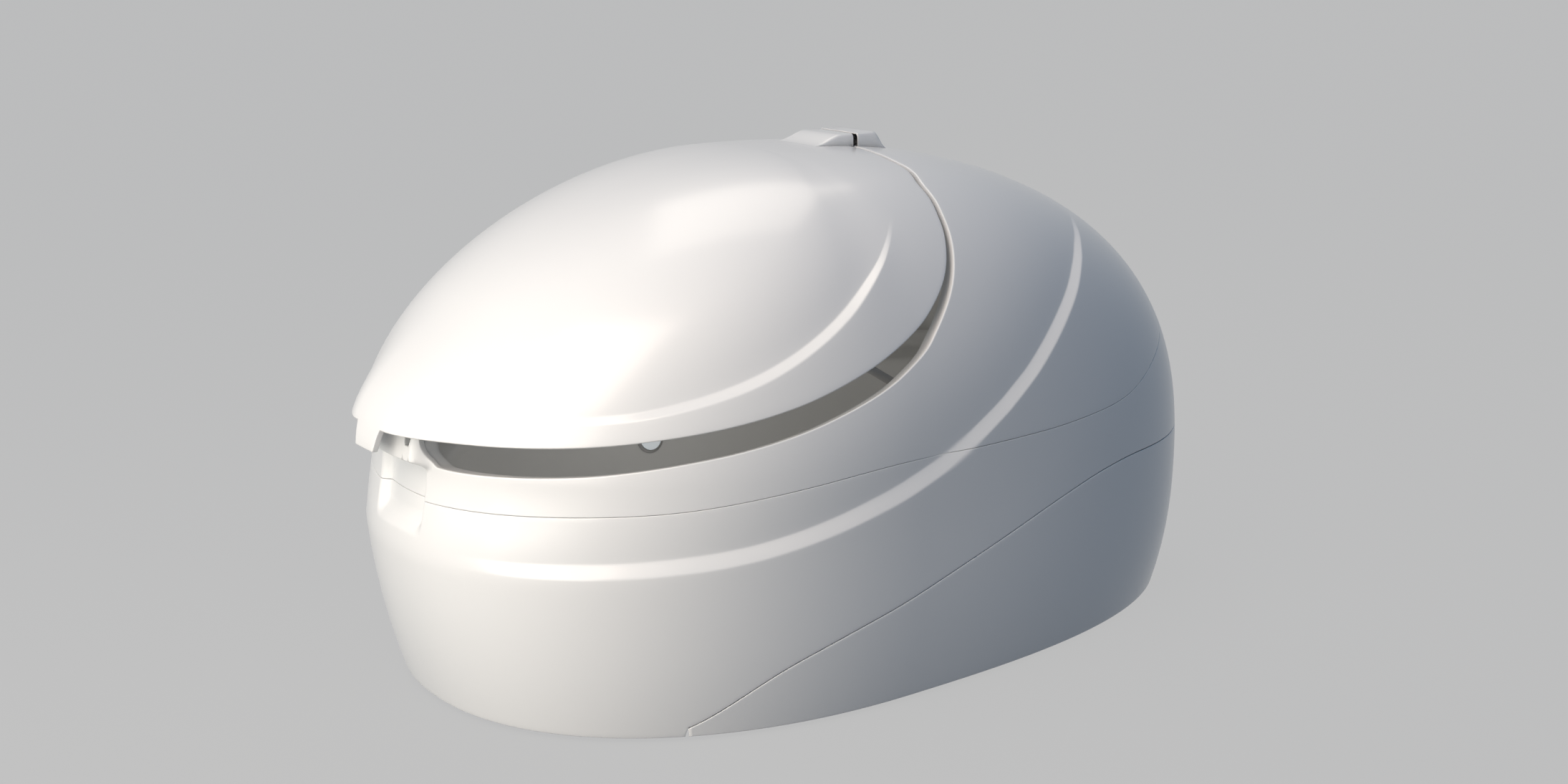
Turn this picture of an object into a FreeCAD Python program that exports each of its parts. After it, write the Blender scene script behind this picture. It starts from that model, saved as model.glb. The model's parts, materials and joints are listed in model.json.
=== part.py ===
import FreeCAD, Part
import bisect
import math
import os

# Flotation tank: an egg-shaped pod with a lifting front lid, +X to the rear, +Z up, millimetres.
# The origin is on the floor under the middle of the pod.
# Every moulded skin comes from one formula: a closed plan curve at each height, about the crown's axis.

os.makedirs("parts", exist_ok=True)

# ---- outer form -----------------------------------------------------------------------------
GROUND_GAP = 12.0            # the shells stop this far above the floor
SHELL_HEIGHT = 1310.0        # crown above the shells' bottom edge
FRONT_REACH = 1069.0         # crown axis to the nose, at the front belt
FRONT_TUCK = 93.0            # the bottom edge stands back by this much
FRONT_BELT = 637.0           # height of the nose's furthest point
REAR_REACH = 1371.0
REAR_TUCK = 50.0
REAR_BELT = 343.0
SIDE_REACH = 762.5
SIDE_TUCK = 41.0
SIDE_BELT = 464.0
FRONT_CROWN_POWER = 1.75     # 2 is an ellipse, more is fuller
REAR_CROWN_POWER = 2.35
SIDE_CROWN_POWER = 2.6
FRONT_FOOT_POWER = 2.25
REAR_FOOT_POWER = 2.3
SIDE_FOOT_POWER = 2.55
FRONT_PLAN_POWER = 2.2
REAR_PLAN_POWER = 2.6
SINK_POWER = 1.6             # how late an inner skin starts to sink below its outer row
BLEND = 130.0                # lines round the pod are rounded over this length, each way
RIM_BLEND = 65.0             # the same for the rims and the apron's line
APRON_END = 126.0
APRON_TIP = 20.0             # height of the apron's thin end
COLUMNS_PER_SIDE = 28        # stations along each side of every skin
FOOT_ROWS = (0, 40, 100, 190, 320)      # heights of a skin's rows where the sides tuck in

# ---- mouldings ------------------------------------------------------------------------------
WALL = 7.0                   # laminate
LEDGE = 8.0                  # half the step of a swoosh, each way from the plain form
LEDGE_FALL = 230.0           # the step dies away over this height
LEDGE_WIDTH = 28.0           # height of the swoosh's lit face
SKIN_FIT = 0.3               # clearance between mouldings that nest
TAB_REACH = 60.0             # how far the lid's grip tab stands out
TAB_DROP = 55.0              # how far it hangs below the rim
TAB_HALF = 52.0
TAB_FLARE = 120.0            # the tab's bulge has died away at this half width
TAB_RISE = 180.0             # and this far above the rim
LANDING_HALF = 108.0         # the base's nose under the lid
LANDING_GAP = 6.0            # filled by the buffers
NOSE_SETBACK = 38.0          # the base stands back under the lid at the nose
SETBACK_LOW = 400.0          # the setback starts at this height
SETBACK_RUN = 240.0          # and is whole this much higher
POCKET_DEPTH = 24.0          # finger recess under the tab
POCKET_HALF = 52.0
POCKET_LOW = 470.0
LINER_INSET = 52.0           # outer skin to the liners' hidden face
LINER_WALL = 7.0
RIM_STEP = 5.0               # the liner flanges sit this far inside the rims
FLANGE = 9.0                 # thickness of the liner flanges along the rim

# ---- basin ----------------------------------------------------------------------------------
FLOOR_Z = 158.0
FLANGE_DROP = 61.0           # basin's flange below the lowest point of the base's rim
DECK_DROP = 55.0             # deck below the flange
DECK_INSET = 205.0
BASIN_TOP_INSET = 226.0
BASIN_FOOT_INSET = 300.0
FLOOR_INSET = 350.0

# ---- lid hinge and struts -------------------------------------------------------------------
HINGE_BEHIND = 22.0          # pin behind the lid's rear edge
HINGE_RISE = 20.0            # pin above the shell
PIN_R = 5.0
PIN_FIT = 0.05
KNUCKLE_R = 10.0
KNUCKLE_LEN = 24.0
KNUCKLE_GAP = 0.6
KNUCKLES = 5
LEAF_T = 5.0
LEAF_LEN = 62.0
LEAF_LOW = 16.0              # blank leaf below its top, before it is cut to the skin
LID_OPEN_DEG = 50.0
COVER_HALF = 84.0
COVER_T = 3.0
COVER_FRONT = 153.0          # lid cover's length forward of the pin
COVER_FRONT_RAMP = 65.0
COVER_REAR = 102.0
COVER_REAR_RAMP = 40.0
COVER_NOTCH_FRONT = 12.0     # the covers stop this far from the pin
COVER_NOTCH_REAR = 4.0
STRUT_LID_AHEAD = 508.0      # the strut's upper eye, ahead of the pin
STRUT_LID_LEVEL = 700.8      # and its height, in thousandths of the shell's
STRUT_BASE_AHEAD = 48.0      # its lower eye, ahead of the pin
STRUT_STAND = 105.0          # and over the deck
STRUT_INSET = 177.5          # both, in from the side
STRUT_TUBE_R = 11.0
STRUT_TUBE_WALL = 1.5
STRUT_ROD_R = 5.0
STRUT_EYE_R = 9.0
STRUT_EYE_T = 8.0
STRUT_PLATE_T = 5.0
STRUT_FIT = 0.4
BOLT_R = 3.0
BOLT_LEN = 34.0

# ---- frame and services ---------------------------------------------------------------------
RAIL = 50.0
RAIL_WALL = 3.0
RAIL_Z = 38.0
RAIL_FRONT_INSET = 317.0     # rails' ends, in from the shell's foot
RAIL_REAR_INSET = 220.0
RAIL_SIDE_INSET = 321.5
FOOT_R = 30.0
FOOT_PAD = 10.0
FOOT_STEM_R = 8.0
HEATER_T = 4.0
STUB_Y = 150.0               # the two short rails that carry the plant tray
STUB_REAR_INSET = 80.0
BRACKET_SHARES = (0.045, 0.36, 0.67)     # brackets' places along the rails
BRACKET_HALF = 20.0
BRACKET_T = 5.0
TRAY_T = 4.0
TRAY_GAP = 4.0
TRAY_DEPTH = 140.0
TRAY_SIDE_INSET = 45.0       # in from the rails
TRAY_CLIP = 70.0             # clipped rear corners
PUMP_R = 58.0
PUMP_LEN = 190.0
FILTER_R = 60.0
FILTER_H = 235.0
UV_R = 36.0
UV_H = 300.0
PIPE_R = 21.0
BOX_SIZE = (75.0, 120.0, 190.0)
VALVE_R = 27.0

# ---- fittings -------------------------------------------------------------------------------
LIGHT_R = 46.0
LIGHT_T = 13.0
JET_R = 26.0
GRATE_R = 40.0
GRATE_H = 7.0
GRATE_AHEAD = 551.0          # places along the basin, from the crown's axis
LIGHT_AHEAD = 1.0
JET_AHEAD = 541.0
SUCTION_AHEAD = -439.0
LIGHT_DROP = 155.0           # and under the deck
JET_DROP = 215.0
BUTTON_R = 17.0
BUTTON_TRAVEL = 3.0
BUTTON_RISE = 4.0
BUTTON_FIT = 0.4
BEZEL_R = 26.0
BEZEL_H = 14.0
BUTTON_INSET = 132.5
GRIP_R = 11.0
GRIP_HALF = 110.0
BUFFER_R = 7.0
BUFFER_Y = 94.0
GRIP_BEHIND = 330.0          # inner grip behind the nose
GRIP_OVER = 124.0            # and over the lid's rim
CONNECTION_Y = 150.0         # mains inlet and drain, each side of the middle
INLET_Z = 210.0
INLET_R = 22.0
INLET_OUT = 10.0
INLET_BORE = 8.0             # radius
DRAIN_Z = 150.0
DRAIN_R = 30.0
DRAIN_OUT = 18.0
DRAIN_BORE = 20.0            # radius
JET_T = 12.0
JET_BORE = 10.0
SUCTION_T = 10.0
HEATER_HALF_X = 520.0
HEATER_HALF_Y = 230.0

CROWN_X = (FRONT_REACH + TAB_REACH - REAR_REACH) / 2
FRONT_REACH_FOOT = FRONT_REACH - FRONT_TUCK
REAR_REACH_FOOT = REAR_REACH - REAR_TUCK
SIDE_REACH_FOOT = SIDE_REACH - SIDE_TUCK
CROWN_Z = GROUND_GAP + SHELL_HEIGHT
RAIL_FRONT = FRONT_REACH_FOOT - CROWN_X - RAIL_FRONT_INSET
RAIL_REAR = REAR_REACH_FOOT + CROWN_X - RAIL_REAR_INSET
RAIL_Y = SIDE_REACH_FOOT - RAIL_SIDE_INSET
STUB_REAR = REAR_REACH_FOOT + CROWN_X - STUB_REAR_INSET
BRACKET_X = [-RAIL_FRONT + (RAIL_REAR + RAIL_FRONT) * share for share in BRACKET_SHARES]
TRAY_X = RAIL_REAR + TRAY_GAP
TRAY_HALF = RAIL_Y - TRAY_SIDE_INSET
GRATE_X = CROWN_X + GRATE_AHEAD
BUTTON_Y = SIDE_REACH - BUTTON_INSET
V = FreeCAD.Vector


# ---- the form -------------------------------------------------------------------------------
def ease(t):
    """Smooth step from 0 to 1."""
    t = max(0.0, min(1.0, t))
    return t * t * (3 - 2 * t)


def reach(h, belt, top, foot, crown_power, foot_power):
    """Half size of the plan at height h: full at the belt, a crown over it, a tuck under it."""
    if h > belt:
        s = min(1.0, (h - belt) / (SHELL_HEIGHT - belt))
        return top * (1 - s ** crown_power) ** (1 / crown_power)
    q = (belt - h) / belt
    return foot + (top - foot) * (1 - q ** foot_power)


def plan_point(angle, z, inset=0.0):
    """Point of the plain form at a signed angle in degrees, positive to +Y. z is the height of the outer skin
    at that row; a skin an inset inside it has smaller reaches, and sinks more and more towards the crown."""
    h = z - GROUND_GAP
    c, s = math.cos(math.radians(angle)), math.sin(math.radians(angle))
    side = reach(h, SIDE_BELT, SIDE_REACH - inset, SIDE_REACH_FOOT - inset, SIDE_CROWN_POWER, SIDE_FOOT_POWER)
    if c < 0:
        power = FRONT_PLAN_POWER
        run = -reach(h, FRONT_BELT, FRONT_REACH - inset, FRONT_REACH_FOOT - inset, FRONT_CROWN_POWER,
                     FRONT_FOOT_POWER)
    else:
        power = REAR_PLAN_POWER
        run = reach(h, REAR_BELT, REAR_REACH - inset, REAR_REACH_FOOT - inset, REAR_CROWN_POWER, REAR_FOOT_POWER)
    return V(CROWN_X + run * abs(c) ** (2 / power), math.copysign(side * abs(s) ** (2 / power), s),
             z - inset * sink(z))


def sink(z):
    """An inner skin's drop below its outer row, as a share of its inset: none at the belt, all at the crown."""
    return max(0.0, (z - GROUND_GAP - SIDE_BELT) / (SHELL_HEIGHT - SIDE_BELT)) ** SINK_POWER


def row_height(z, inset):
    """Outer row whose skin at this inset has the true height z, for heights well below the crown."""
    row = z
    for step in range(4):
        row = z + inset * sink(row)
    return row


def between(z_low, z_high, share):
    """Height between two rows, measured as an angle so that rows crowd towards the crown."""
    a = math.asin(max(0.0, min(1.0, (z_low - GROUND_GAP) / SHELL_HEIGHT)))
    b = math.asin(max(0.0, min(1.0, (z_high - GROUND_GAP) / SHELL_HEIGHT)))
    return GROUND_GAP + SHELL_HEIGHT * math.sin(a + (b - a) * share)


# ---- lines round the pod --------------------------------------------------------------------
def outline_lengths():
    """Length round half the plain form at the side's belt, from the rear to every tenth of a degree."""
    points = [plan_point(k / 10, GROUND_GAP + SIDE_BELT) for k in range(1801)]
    lengths = [0.0]
    for a, b in zip(points, points[1:]):
        lengths.append(lengths[-1] + (b - a).Length)
    return lengths


OUTLINE = outline_lengths()


def length_at(angle):
    """Length round the plain form from the rear to an angle."""
    place = max(0.0, min(1800.0, angle * 10))
    k = min(1799, int(place))
    return OUTLINE[k] + (OUTLINE[k + 1] - OUTLINE[k]) * (place - k)


def angle_at(length):
    """The angle at a length from the rear."""
    length = max(0.0, min(OUTLINE[-1], length))
    k = max(1, min(1800, bisect.bisect_left(OUTLINE, length)))
    return (k - (OUTLINE[k] - length) / (OUTLINE[k] - OUTLINE[k - 1])) / 10


def laid_out(stations):
    """Stations (angle, value) as (length from the rear, value), rear first."""
    return sorted((length_at(angle), value) for angle, value in stations)


# Lines round the pod, given at angles: 180 is the nose, 90 the side, 0 the rear.
# LID_RIM, SWOOSH, SEAM and APRON_LINE are heights in thousandths of the shell's; SLOT is in millimetres,
# and the others are shares.
LID_RIM = [(180, 529.8), (172, 535.9), (160, 546.6), (146, 555), (133, 560.3), (121, 567.9), (110, 582.4),
           (104, 596.9), (99, 618.3), (92, 658), (89, 712.2), (86, 767.9), (84, 807.6), (82, 845.8),
           (79, 896.2), (73, 945), (58, 978.6), (42, 987.8), (20, 991.2), (0, 992)]
SLOT = [(180, 49), (165, 60), (146, 65), (121, 62), (110, 56), (99, 47), (92, 30), (86, 20), (80, 14), (60, 14),
        (0, 18)]
SWOOSH = [(180, 343.5), (154, 345), (145, 342.7), (130, 343.5), (118, 356.5), (107, 382.4), (96, 431.3),
          (90, 490.8), (82, 572.5), (75, 644.3), (65, 719.8), (56, 780.2), (44, 826), (25, 853.4),
          (0, 861.1)]
SWOOSH_FADE = [(180, 0), (160, 0), (142, 0.8), (125, 1), (65, 1), (52, 0.6), (40, 0), (0, 0)]
LID_SWOOSH = [(180, 0.05), (136, 0.066), (119, 0.105), (102, 0.19), (89, 0.306), (75, 0.36), (0, 0.36)]
LID_SWOOSH_FADE = [(180, 0), (139, 0), (124, 0.8), (112, 1), (98, 1), (92, 0.6), (85, 0), (0, 0)]
SEAM = [(180, 416), (125, 438.9), (95, 479.4), (75, 479.4), (60, 492.4), (47, 549.6), (30, 601.5),
        (0, 624.4)]
APRON_LINE = [(180, 0), (128, 0), (122, 36.6), (111, 118.3), (99, 176.3), (93, 200.8), (87, 255),
              (77, 325.2), (69, 358.8), (61, 370.2), (44, 358.8), (20, 355.7), (0, 355.7)]

(LID_RIM, SLOT, SWOOSH, SWOOSH_FADE, LID_SWOOSH, LID_SWOOSH_FADE, SEAM, APRON_LINE) = [
    laid_out(line) for line in (LID_RIM, SLOT, SWOOSH, SWOOSH_FADE, LID_SWOOSH, LID_SWOOSH_FADE, SEAM, APRON_LINE)]


def along(line, length):
    """Value of a line at a length from the rear, straight between its stations."""
    k = max(1, min(len(line) - 1, bisect.bisect_left(line, (length,))))
    (a, value_a), (b, value_b) = line[k - 1], line[k]
    return value_a + (value_b - value_a) * max(0.0, min(1.0, (length - a) / (b - a)))


def smooth_along(line, angle, blend=BLEND):
    """A line's value at an angle, its corners rounded by averaging over a blend to each side. Past the
    nose and the rear the line runs back as its own mirror image."""
    taps = [k / 6 for k in range(-6, 7)]
    weights = [math.cos(t * math.pi / 2) ** 2 + 0.02 for t in taps]
    total, here = 0.0, length_at(angle)
    for t, w in zip(taps, weights):
        length = abs(here + t * blend)
        total += w * along(line, min(length, 2 * OUTLINE[-1] - length))
    return total / sum(weights)


def line_height(line, angle, blend=BLEND):
    """Height over the floor of a line given in thousandths of the shell's height."""
    return GROUND_GAP + SHELL_HEIGHT * smooth_along(line, angle, blend) / 1000


def lid_line(angle):
    """Height of the lid's rim without its tab."""
    return line_height(LID_RIM, angle, RIM_BLEND)


def rim_step(angle):
    """Rise in height that moves a point one millimetre away from the rim, square to it on the skin."""
    a, b = angle_at(length_at(angle) + 15), angle_at(length_at(angle) - 15)
    here = plan_point(angle, lid_line(angle))
    run = plan_point(a, lid_line(a)) - plan_point(b, lid_line(b))
    rise = here - plan_point(angle, lid_line(angle) - 1.0)
    return run.Length / max(1e-6, rise.cross(run).Length)


def lid_rim(angle, y, off=0.0):
    """Height of the lid's lower edge; the grip tab hangs below it at the nose."""
    z = lid_line(angle) + off * rim_step(angle)
    return z - (TAB_DROP if abs(y) <= TAB_HALF and angle > 90 else 0.0)


def base_rim(angle, y, off=0.0):
    """Height of the base's upper edge: the slot below the lid's rim, or the landing at the nose."""
    landing = angle > 90 and abs(y) <= LANDING_HALF + 1
    gap = LANDING_GAP if landing else smooth_along(SLOT, angle, RIM_BLEND)
    return lid_line(angle) - (gap + off) * rim_step(angle)


def ledge(z, line, fade):
    """Push of a swoosh: out below its line, in above it, dying away both ways."""
    half = LEDGE_WIDTH / 2
    away = z - line
    if abs(away) <= half:
        return -LEDGE * fade * away / half
    fall = max(0.0, 1 - (abs(away) - half) / LEDGE_FALL) ** 2
    return -math.copysign(LEDGE * fade * fall, away)


def pushed(p, amount):
    """Moves a point away from the middle of the pod."""
    d = V(p.x - CROWN_X, p.y, max(0.0, p.z - SIDE_BELT - GROUND_GAP))
    if d.Length < 1:
        return p
    d.normalize()
    return p + d * amount


def base_point(station, z, inset=0.0, detail=True):
    """Point on the base's skin, with its swoosh, its set-back nose and its finger pocket."""
    angle, sign, y = station
    p = plan_point(angle * sign, z, inset)
    nose = ease((angle - 105) / 45) * ease((z - SETBACK_LOW) / SETBACK_RUN)
    p.x += NOSE_SETBACK * nose
    if angle > 90:
        side = ease((POCKET_HALF + 34 - abs(y)) / 34)
        p.x += POCKET_DEPTH * side * ease((z - POCKET_LOW) / 50)
    if detail:
        p = pushed(p, ledge(z, line_height(SWOOSH, angle), smooth_along(SWOOSH_FADE, angle)))
    return p


def lid_swoosh_z(angle):
    return between(lid_line(angle), CROWN_Z, smooth_along(LID_SWOOSH, angle))


def lid_point(station, z, inset=0.0, detail=True):
    """Point on the lid's skin, with its swoosh and the bulge over the grip tab."""
    angle, sign, y = station
    p = plan_point(angle * sign, z, inset)
    if angle > 90:
        over = z - lid_line(angle)
        p.x -= TAB_REACH * ease((TAB_FLARE - abs(y)) / (TAB_FLARE - TAB_HALF)) * ease(1 - over / TAB_RISE)
    if detail:
        p = pushed(p, ledge(z, lid_swoosh_z(angle), smooth_along(LID_SWOOSH_FADE, angle)))
    return p


def nose_angle(y):
    """Angle at which the belt has a small half width y, on the nose."""
    return 180 - math.degrees(math.asin((y / SIDE_REACH) ** (FRONT_PLAN_POWER / 2)))


def side_stations(count, nose_ys):
    """Angles down one side: fixed half widths on the nose, then steps that share rim and belt length evenly."""
    start = nose_angle(nose_ys[-1])
    angles = [start - start * i / 720 for i in range(721)]
    rim = [plan_point(a, lid_line(a)) for a in angles]
    belt = [plan_point(a, GROUND_GAP + SIDE_BELT) for a in angles]
    rims, belts = [0.0], [0.0]
    for i in range(720):
        rims.append(rims[-1] + (rim[i + 1] - rim[i]).Length)
        belts.append(belts[-1] + (belt[i + 1] - belt[i]).Length)
    measure = [r / rims[-1] + b / belts[-1] for r, b in zip(rims, belts)]
    out = [nose_angle(y) for y in nose_ys[:-1]]
    for k in range(count + 1):
        goal = 2.0 * k / count
        i = min(range(721), key=lambda j: abs(measure[j] - goal))
        out.append(angles[i])
    return out


def stations(count, nose_ys):
    """All stations round the pod as (angle, side, half width on the nose), nose first, +Y side first."""
    one = side_stations(count, nose_ys)
    ys = list(nose_ys[:-1]) + [1e3] * (len(one) - len(nose_ys) + 1)
    side = list(zip(one, ys))
    loop = [(a, 1, y) for a, y in side]
    loop += [(a, -1, -y) for a, y in reversed(side[1:-1])]
    return loop


NOSE_HALVES = (0.0, 28.0, TAB_HALF, TAB_HALF + 10, 84.0, LANDING_HALF, LANDING_HALF + 12, 160.0)
FINE = stations(COLUMNS_PER_SIDE, NOSE_HALVES)
COARSE = stations(COLUMNS_PER_SIDE * 3 // 5, (0.0, 80.0, 160.0))


TUB_FLANGE_Z = min(base_rim(s[0], s[2]) for s in FINE) - FLANGE_DROP
DECK_Z = TUB_FLANGE_Z - DECK_DROP
LIGHT_SPOT = (CROWN_X + LIGHT_AHEAD, DECK_Z - LIGHT_DROP)
JET_SPOT = (CROWN_X + JET_AHEAD, DECK_Z - JET_DROP)
SUCTION_SPOT = (CROWN_X + SUCTION_AHEAD, DECK_Z - JET_DROP)
HINGE_X = plan_point(0, lid_line(0)).x + HINGE_BEHIND


# ---- solids from rings ----------------------------------------------------------------------
def net(rings, closed_rings=False, wrap=True):
    """Solid skin through rings of points; a ring of one point is a pole. closed_rings joins last to first,
    wrap joins each ring's end to its start, and without wrap both ends are capped."""
    points, rows = [], []
    for ring in rings:
        rows.append(list(range(len(points), len(points) + len(ring))))
        points.extend(ring)
    pairs = list(zip(rows, rows[1:]))
    if closed_rings:
        pairs.append((rows[-1], rows[0]))
    tris = []

    def add(a, b, c):
        pa, pb, pc = points[a], points[b], points[c]
        if (pb - pa).cross(pc - pa).Length > 0.02:
            tris.append((a, b, c))

    for low, high in pairs:
        n = max(len(low), len(high))
        for i in range(n if wrap else n - 1):
            j = (i + 1) % n
            if len(low) == 1:
                add(low[0], high[j], high[i])
            elif len(high) == 1:
                add(low[i], low[j], high[0])
            elif (points[low[i]] - points[high[j]]).Length < (points[low[j]] - points[high[i]]).Length:
                add(low[i], low[j], high[j])
                add(low[i], high[j], high[i])
            else:
                add(low[i], low[j], high[i])
                add(low[j], high[j], high[i])
    if not wrap:
        first = [r[0] for r in rows]
        last = [r[-1] for r in rows]
        for i in range(1, len(rows) - 1):
            add(first[0], first[i], first[i + 1])
            add(last[0], last[i + 1], last[i])
    skin = Part.Shape()
    skin.makeShapeFromMesh((points, tris), 0.001)
    solid = Part.Solid(Part.Shell(skin.Faces))
    if solid.Volume < 0:
        solid.reverse()
    return solid


def ring(loop, point, z_of, inset=0.0, detail=True):
    """One ring of skin points, its height given for each station."""
    return [point(s, z_of(s), inset, detail) for s in loop]


def clamp(z, low, high):
    return max(low, min(high, z))


def base_rows(s):
    """Heights of the base's rows at a station: up to the swoosh, across its face and on to the rim."""
    line = line_height(SWOOSH, s[0])
    rim = base_rim(s[0], s[2])
    low, high = line - LEDGE_WIDTH / 2, line + LEDGE_WIDTH / 2
    rows = [GROUND_GAP + h for h in FOOT_ROWS]
    rows += [between(rows[-1], low, k) for k in (0.35, 0.7)]
    rows += [low, high]
    rows += [between(high, rim, k) for k in (0.25, 0.5, 0.75, 1)]
    return rows


def wall_between(loop, floor_of, top_of, wrap=True, brim=False):
    """A band of the base's shell between two lines: outer rows up, then the inner skin's rows down.
    brim adds inner rows where a liner's flange meets the skin."""
    count = len(base_rows(loop[0]))
    rings = []
    for k in range(count):
        rings.append(ring(loop, base_point, lambda s: clamp(base_rows(s)[k], floor_of(s), top_of(s))))
    deep = WALL + LEDGE
    if brim:
        rings += [ring(loop, base_point, lambda s: base_rim(s[0], s[2], off), deep, False)
                  for off in (0, RIM_STEP)]
    under = brim_z if brim else top_of
    for share in (1, 0.66, 0.33, 0.12, 0):
        rings.append(ring(loop, base_point, lambda s: between(floor_of(s), under(s), share), deep, False))
    rings[0] = ring(loop, base_point, floor_of)
    rings[count - 1] = ring(loop, base_point, top_of)
    return net(rings, closed_rings=True, wrap=wrap)


def seam_z(s):
    return min(line_height(SEAM, s[0]), base_rim(s[0], s[2]) - 30)


def apron_z(s):
    return max(APRON_TIP, line_height(APRON_LINE, s[0], RIM_BLEND))


def foot_z(s):
    return GROUND_GAP


def rim_z(s):
    return base_rim(s[0], s[2])


def brim_z(s):
    return base_rim(s[0], s[2], RIM_STEP + FLANGE)


def tub_foot_z(s):
    return apron_z(s) + 2.0 if s[0] < APRON_END else GROUND_GAP


def hood_shell():
    return wall_between(FINE, seam_z, rim_z, brim=True)


def tub_shell():
    return wall_between(FINE, tub_foot_z, seam_z)


def service_apron():
    half = [s for s in FINE if s[0] < APRON_END]
    rear = min(range(len(half)), key=lambda i: half[i][0])
    plus = [s for s in half if s[1] > 0 or s is half[rear]]
    minus = [s for s in half if s[1] < 0 and s is not half[rear]]
    return wall_between(plus + minus, foot_z, apron_z, wrap=False)


def lid_rows(s):
    """Heights of the lid's rows at a station: the rim, the swoosh's face, then up towards the crown."""
    line = lid_swoosh_z(s[0])
    half = min(LEDGE_WIDTH / 2, (line - lid_line(s[0])) / 2, (CROWN_Z - line) / 3)
    rows = [lid_rim(s[0], s[2]), line - half, line + half]
    return rows + [between(line + half, CROWN_Z, k) for k in (0.22, 0.45, 0.68, 0.87)]


def lid_rings(loop, rows_of, inset, detail):
    """Rings from a rim row to the crown's pole, at an inset."""
    rings = [ring(loop, lid_point, lambda s: rows_of(s)[k], inset, detail)
             for k in range(len(rows_of(loop[0])))]
    return rings + [[V(CROWN_X, 0, CROWN_Z - inset)]]


def lid_shell():
    """The lid's outer moulding: a cap with a thick rim, its swoosh and the grip tab."""
    def inner_rows(s):
        return [lid_rim(s[0], s[2]), lid_rim(s[0], 1e3, RIM_STEP)] + lid_liner_rows(s)

    outer = lid_rings(FINE, lid_rows, 0.0, True)
    inner = lid_rings(FINE, inner_rows, WALL + LEDGE, False)
    return net(outer + inner[::-1], closed_rings=True)


def lid_liner_rows(s):
    low = lid_rim(s[0], 1e3, RIM_STEP + FLANGE)
    return [low] + [between(low, CROWN_Z, k) for k in (0.2, 0.45, 0.72)]


def lid_liner():
    """Inner moulding of the lid, turned out along the rim to meet the outer moulding."""
    edge = WALL + LEDGE + SKIN_FIT
    hidden = lid_rings(FINE, lid_liner_rows, LINER_INSET, False)[::-1]
    seen = lid_rings(FINE, lid_liner_rows, LINER_INSET + LINER_WALL, False)
    flange = [ring(FINE, lid_point, lambda s: lid_rim(s[0], 1e3, RIM_STEP + FLANGE), edge, False),
              ring(FINE, lid_point, lambda s: lid_rim(s[0], 1e3, RIM_STEP), edge, False),
              ring(FINE, lid_point, lambda s: lid_rim(s[0], 1e3, RIM_STEP), LINER_INSET + LINER_WALL,
                   False)]
    return net(hidden + flange + seen)


def lid_seal():
    """Rubber strip along the lid liner's flange, just inside the rim."""
    near, far = WALL + LEDGE + 8.0, WALL + LEDGE + 22.0
    top, low = RIM_STEP - 2 * SKIN_FIT, -1.0
    corners = [(top, near), (top, far), (low, far), (low, near)]
    rings = [ring(FINE, lid_point, lambda s: lid_rim(s[0], 1e3, off), inset, False)
             for off, inset in corners]
    return net(rings, closed_rings=True)


def hood_liner():
    """Inner moulding of the hood: stands on the basin's flange and turns out along the opening's rim."""
    edge, seen = WALL + LEDGE + SKIN_FIT, LINER_INSET + LINER_WALL

    def rows(inset, off, shares):
        foot = row_height(TUB_FLANGE_Z, inset)
        return [ring(FINE, base_point, lambda s: between(foot, base_rim(s[0], s[2], off), k), inset, False)
                for k in shares]

    hidden = rows(LINER_INSET, RIM_STEP + FLANGE, (0, 0.35, 0.7, 1))
    flange = [ring(FINE, base_point, lambda s: base_rim(s[0], s[2], off), edge, False)
              for off in (RIM_STEP + FLANGE, RIM_STEP)]
    return net(hidden + flange + rows(seen, RIM_STEP, (1, 0.7, 0.35, 0)), closed_rings=True)


def shelf(loop, z, inset, of_base=False):
    """Ring at a true height: of the base's skin near the wall, or of the plain form further in."""
    row = row_height(z, inset)
    if of_base:
        return [base_point(s, row, inset, False) for s in loop]
    return [plan_point(s[0] * s[1], row, inset) for s in loop]


def basin_rings(rise):
    """The basin's seen face from the middle of its floor out to its flange; rise lifts or sinks it."""
    middle = [V(CROWN_X, 0, FLOOR_Z + rise)]
    seen = LINER_INSET + LINER_WALL
    return [middle,
            shelf(COARSE, FLOOR_Z + rise, FLOOR_INSET + rise),
            shelf(COARSE, FLOOR_Z + 16 + rise, BASIN_FOOT_INSET + 16 + rise),
            shelf(COARSE, FLOOR_Z + 60, BASIN_FOOT_INSET + rise),
            shelf(COARSE, DECK_Z - 28, BASIN_TOP_INSET + 10 + rise),
            shelf(COARSE, DECK_Z - 6 + rise, BASIN_TOP_INSET - 6 + rise),
            shelf(COARSE, DECK_Z + rise, DECK_INSET + rise),
            shelf(COARSE, DECK_Z + rise, seen + 22 + rise, True),
            shelf(COARSE, DECK_Z + 22 + rise * 0.4, seen + rise, True)]


def tub_liner():
    """The basin and its deck in one moulding, with an upstand that carries the hood's liner."""
    seen = basin_rings(0.0) + [shelf(COARSE, TUB_FLANGE_Z, LINER_INSET + LINER_WALL, True)]
    hidden = basin_rings(-LINER_WALL) + [shelf(COARSE, TUB_FLANGE_Z, LINER_INSET, True)]
    return net(seen + hidden[::-1])


# ---- plugs: solids that cut a piece to the skin it stands on ---------------------------------
def base_plug(inset):
    """The base filled solid, its skin moved out or in."""
    count = len(base_rows(FINE[0]))
    rings = [ring(FINE, base_point, lambda s: base_rows(s)[k], inset) for k in range(count)]
    return net([[V(CROWN_X, 0, GROUND_GAP)]] + rings + [[V(CROWN_X, 0, FRONT_BELT)]])


def lid_plug(inset, rows_of=lid_rows, detail=True):
    """The lid filled solid, its skin moved out or in."""
    return net([[V(CROWN_X, 0, FRONT_BELT)]] + lid_rings(FINE, rows_of, inset, detail))


def basin_plug():
    """The basin's hollow, a fit smaller all round."""
    return net(basin_rings(SKIN_FIT)[:7] + [[V(CROWN_X, 0, DECK_Z + 5)]])


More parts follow.
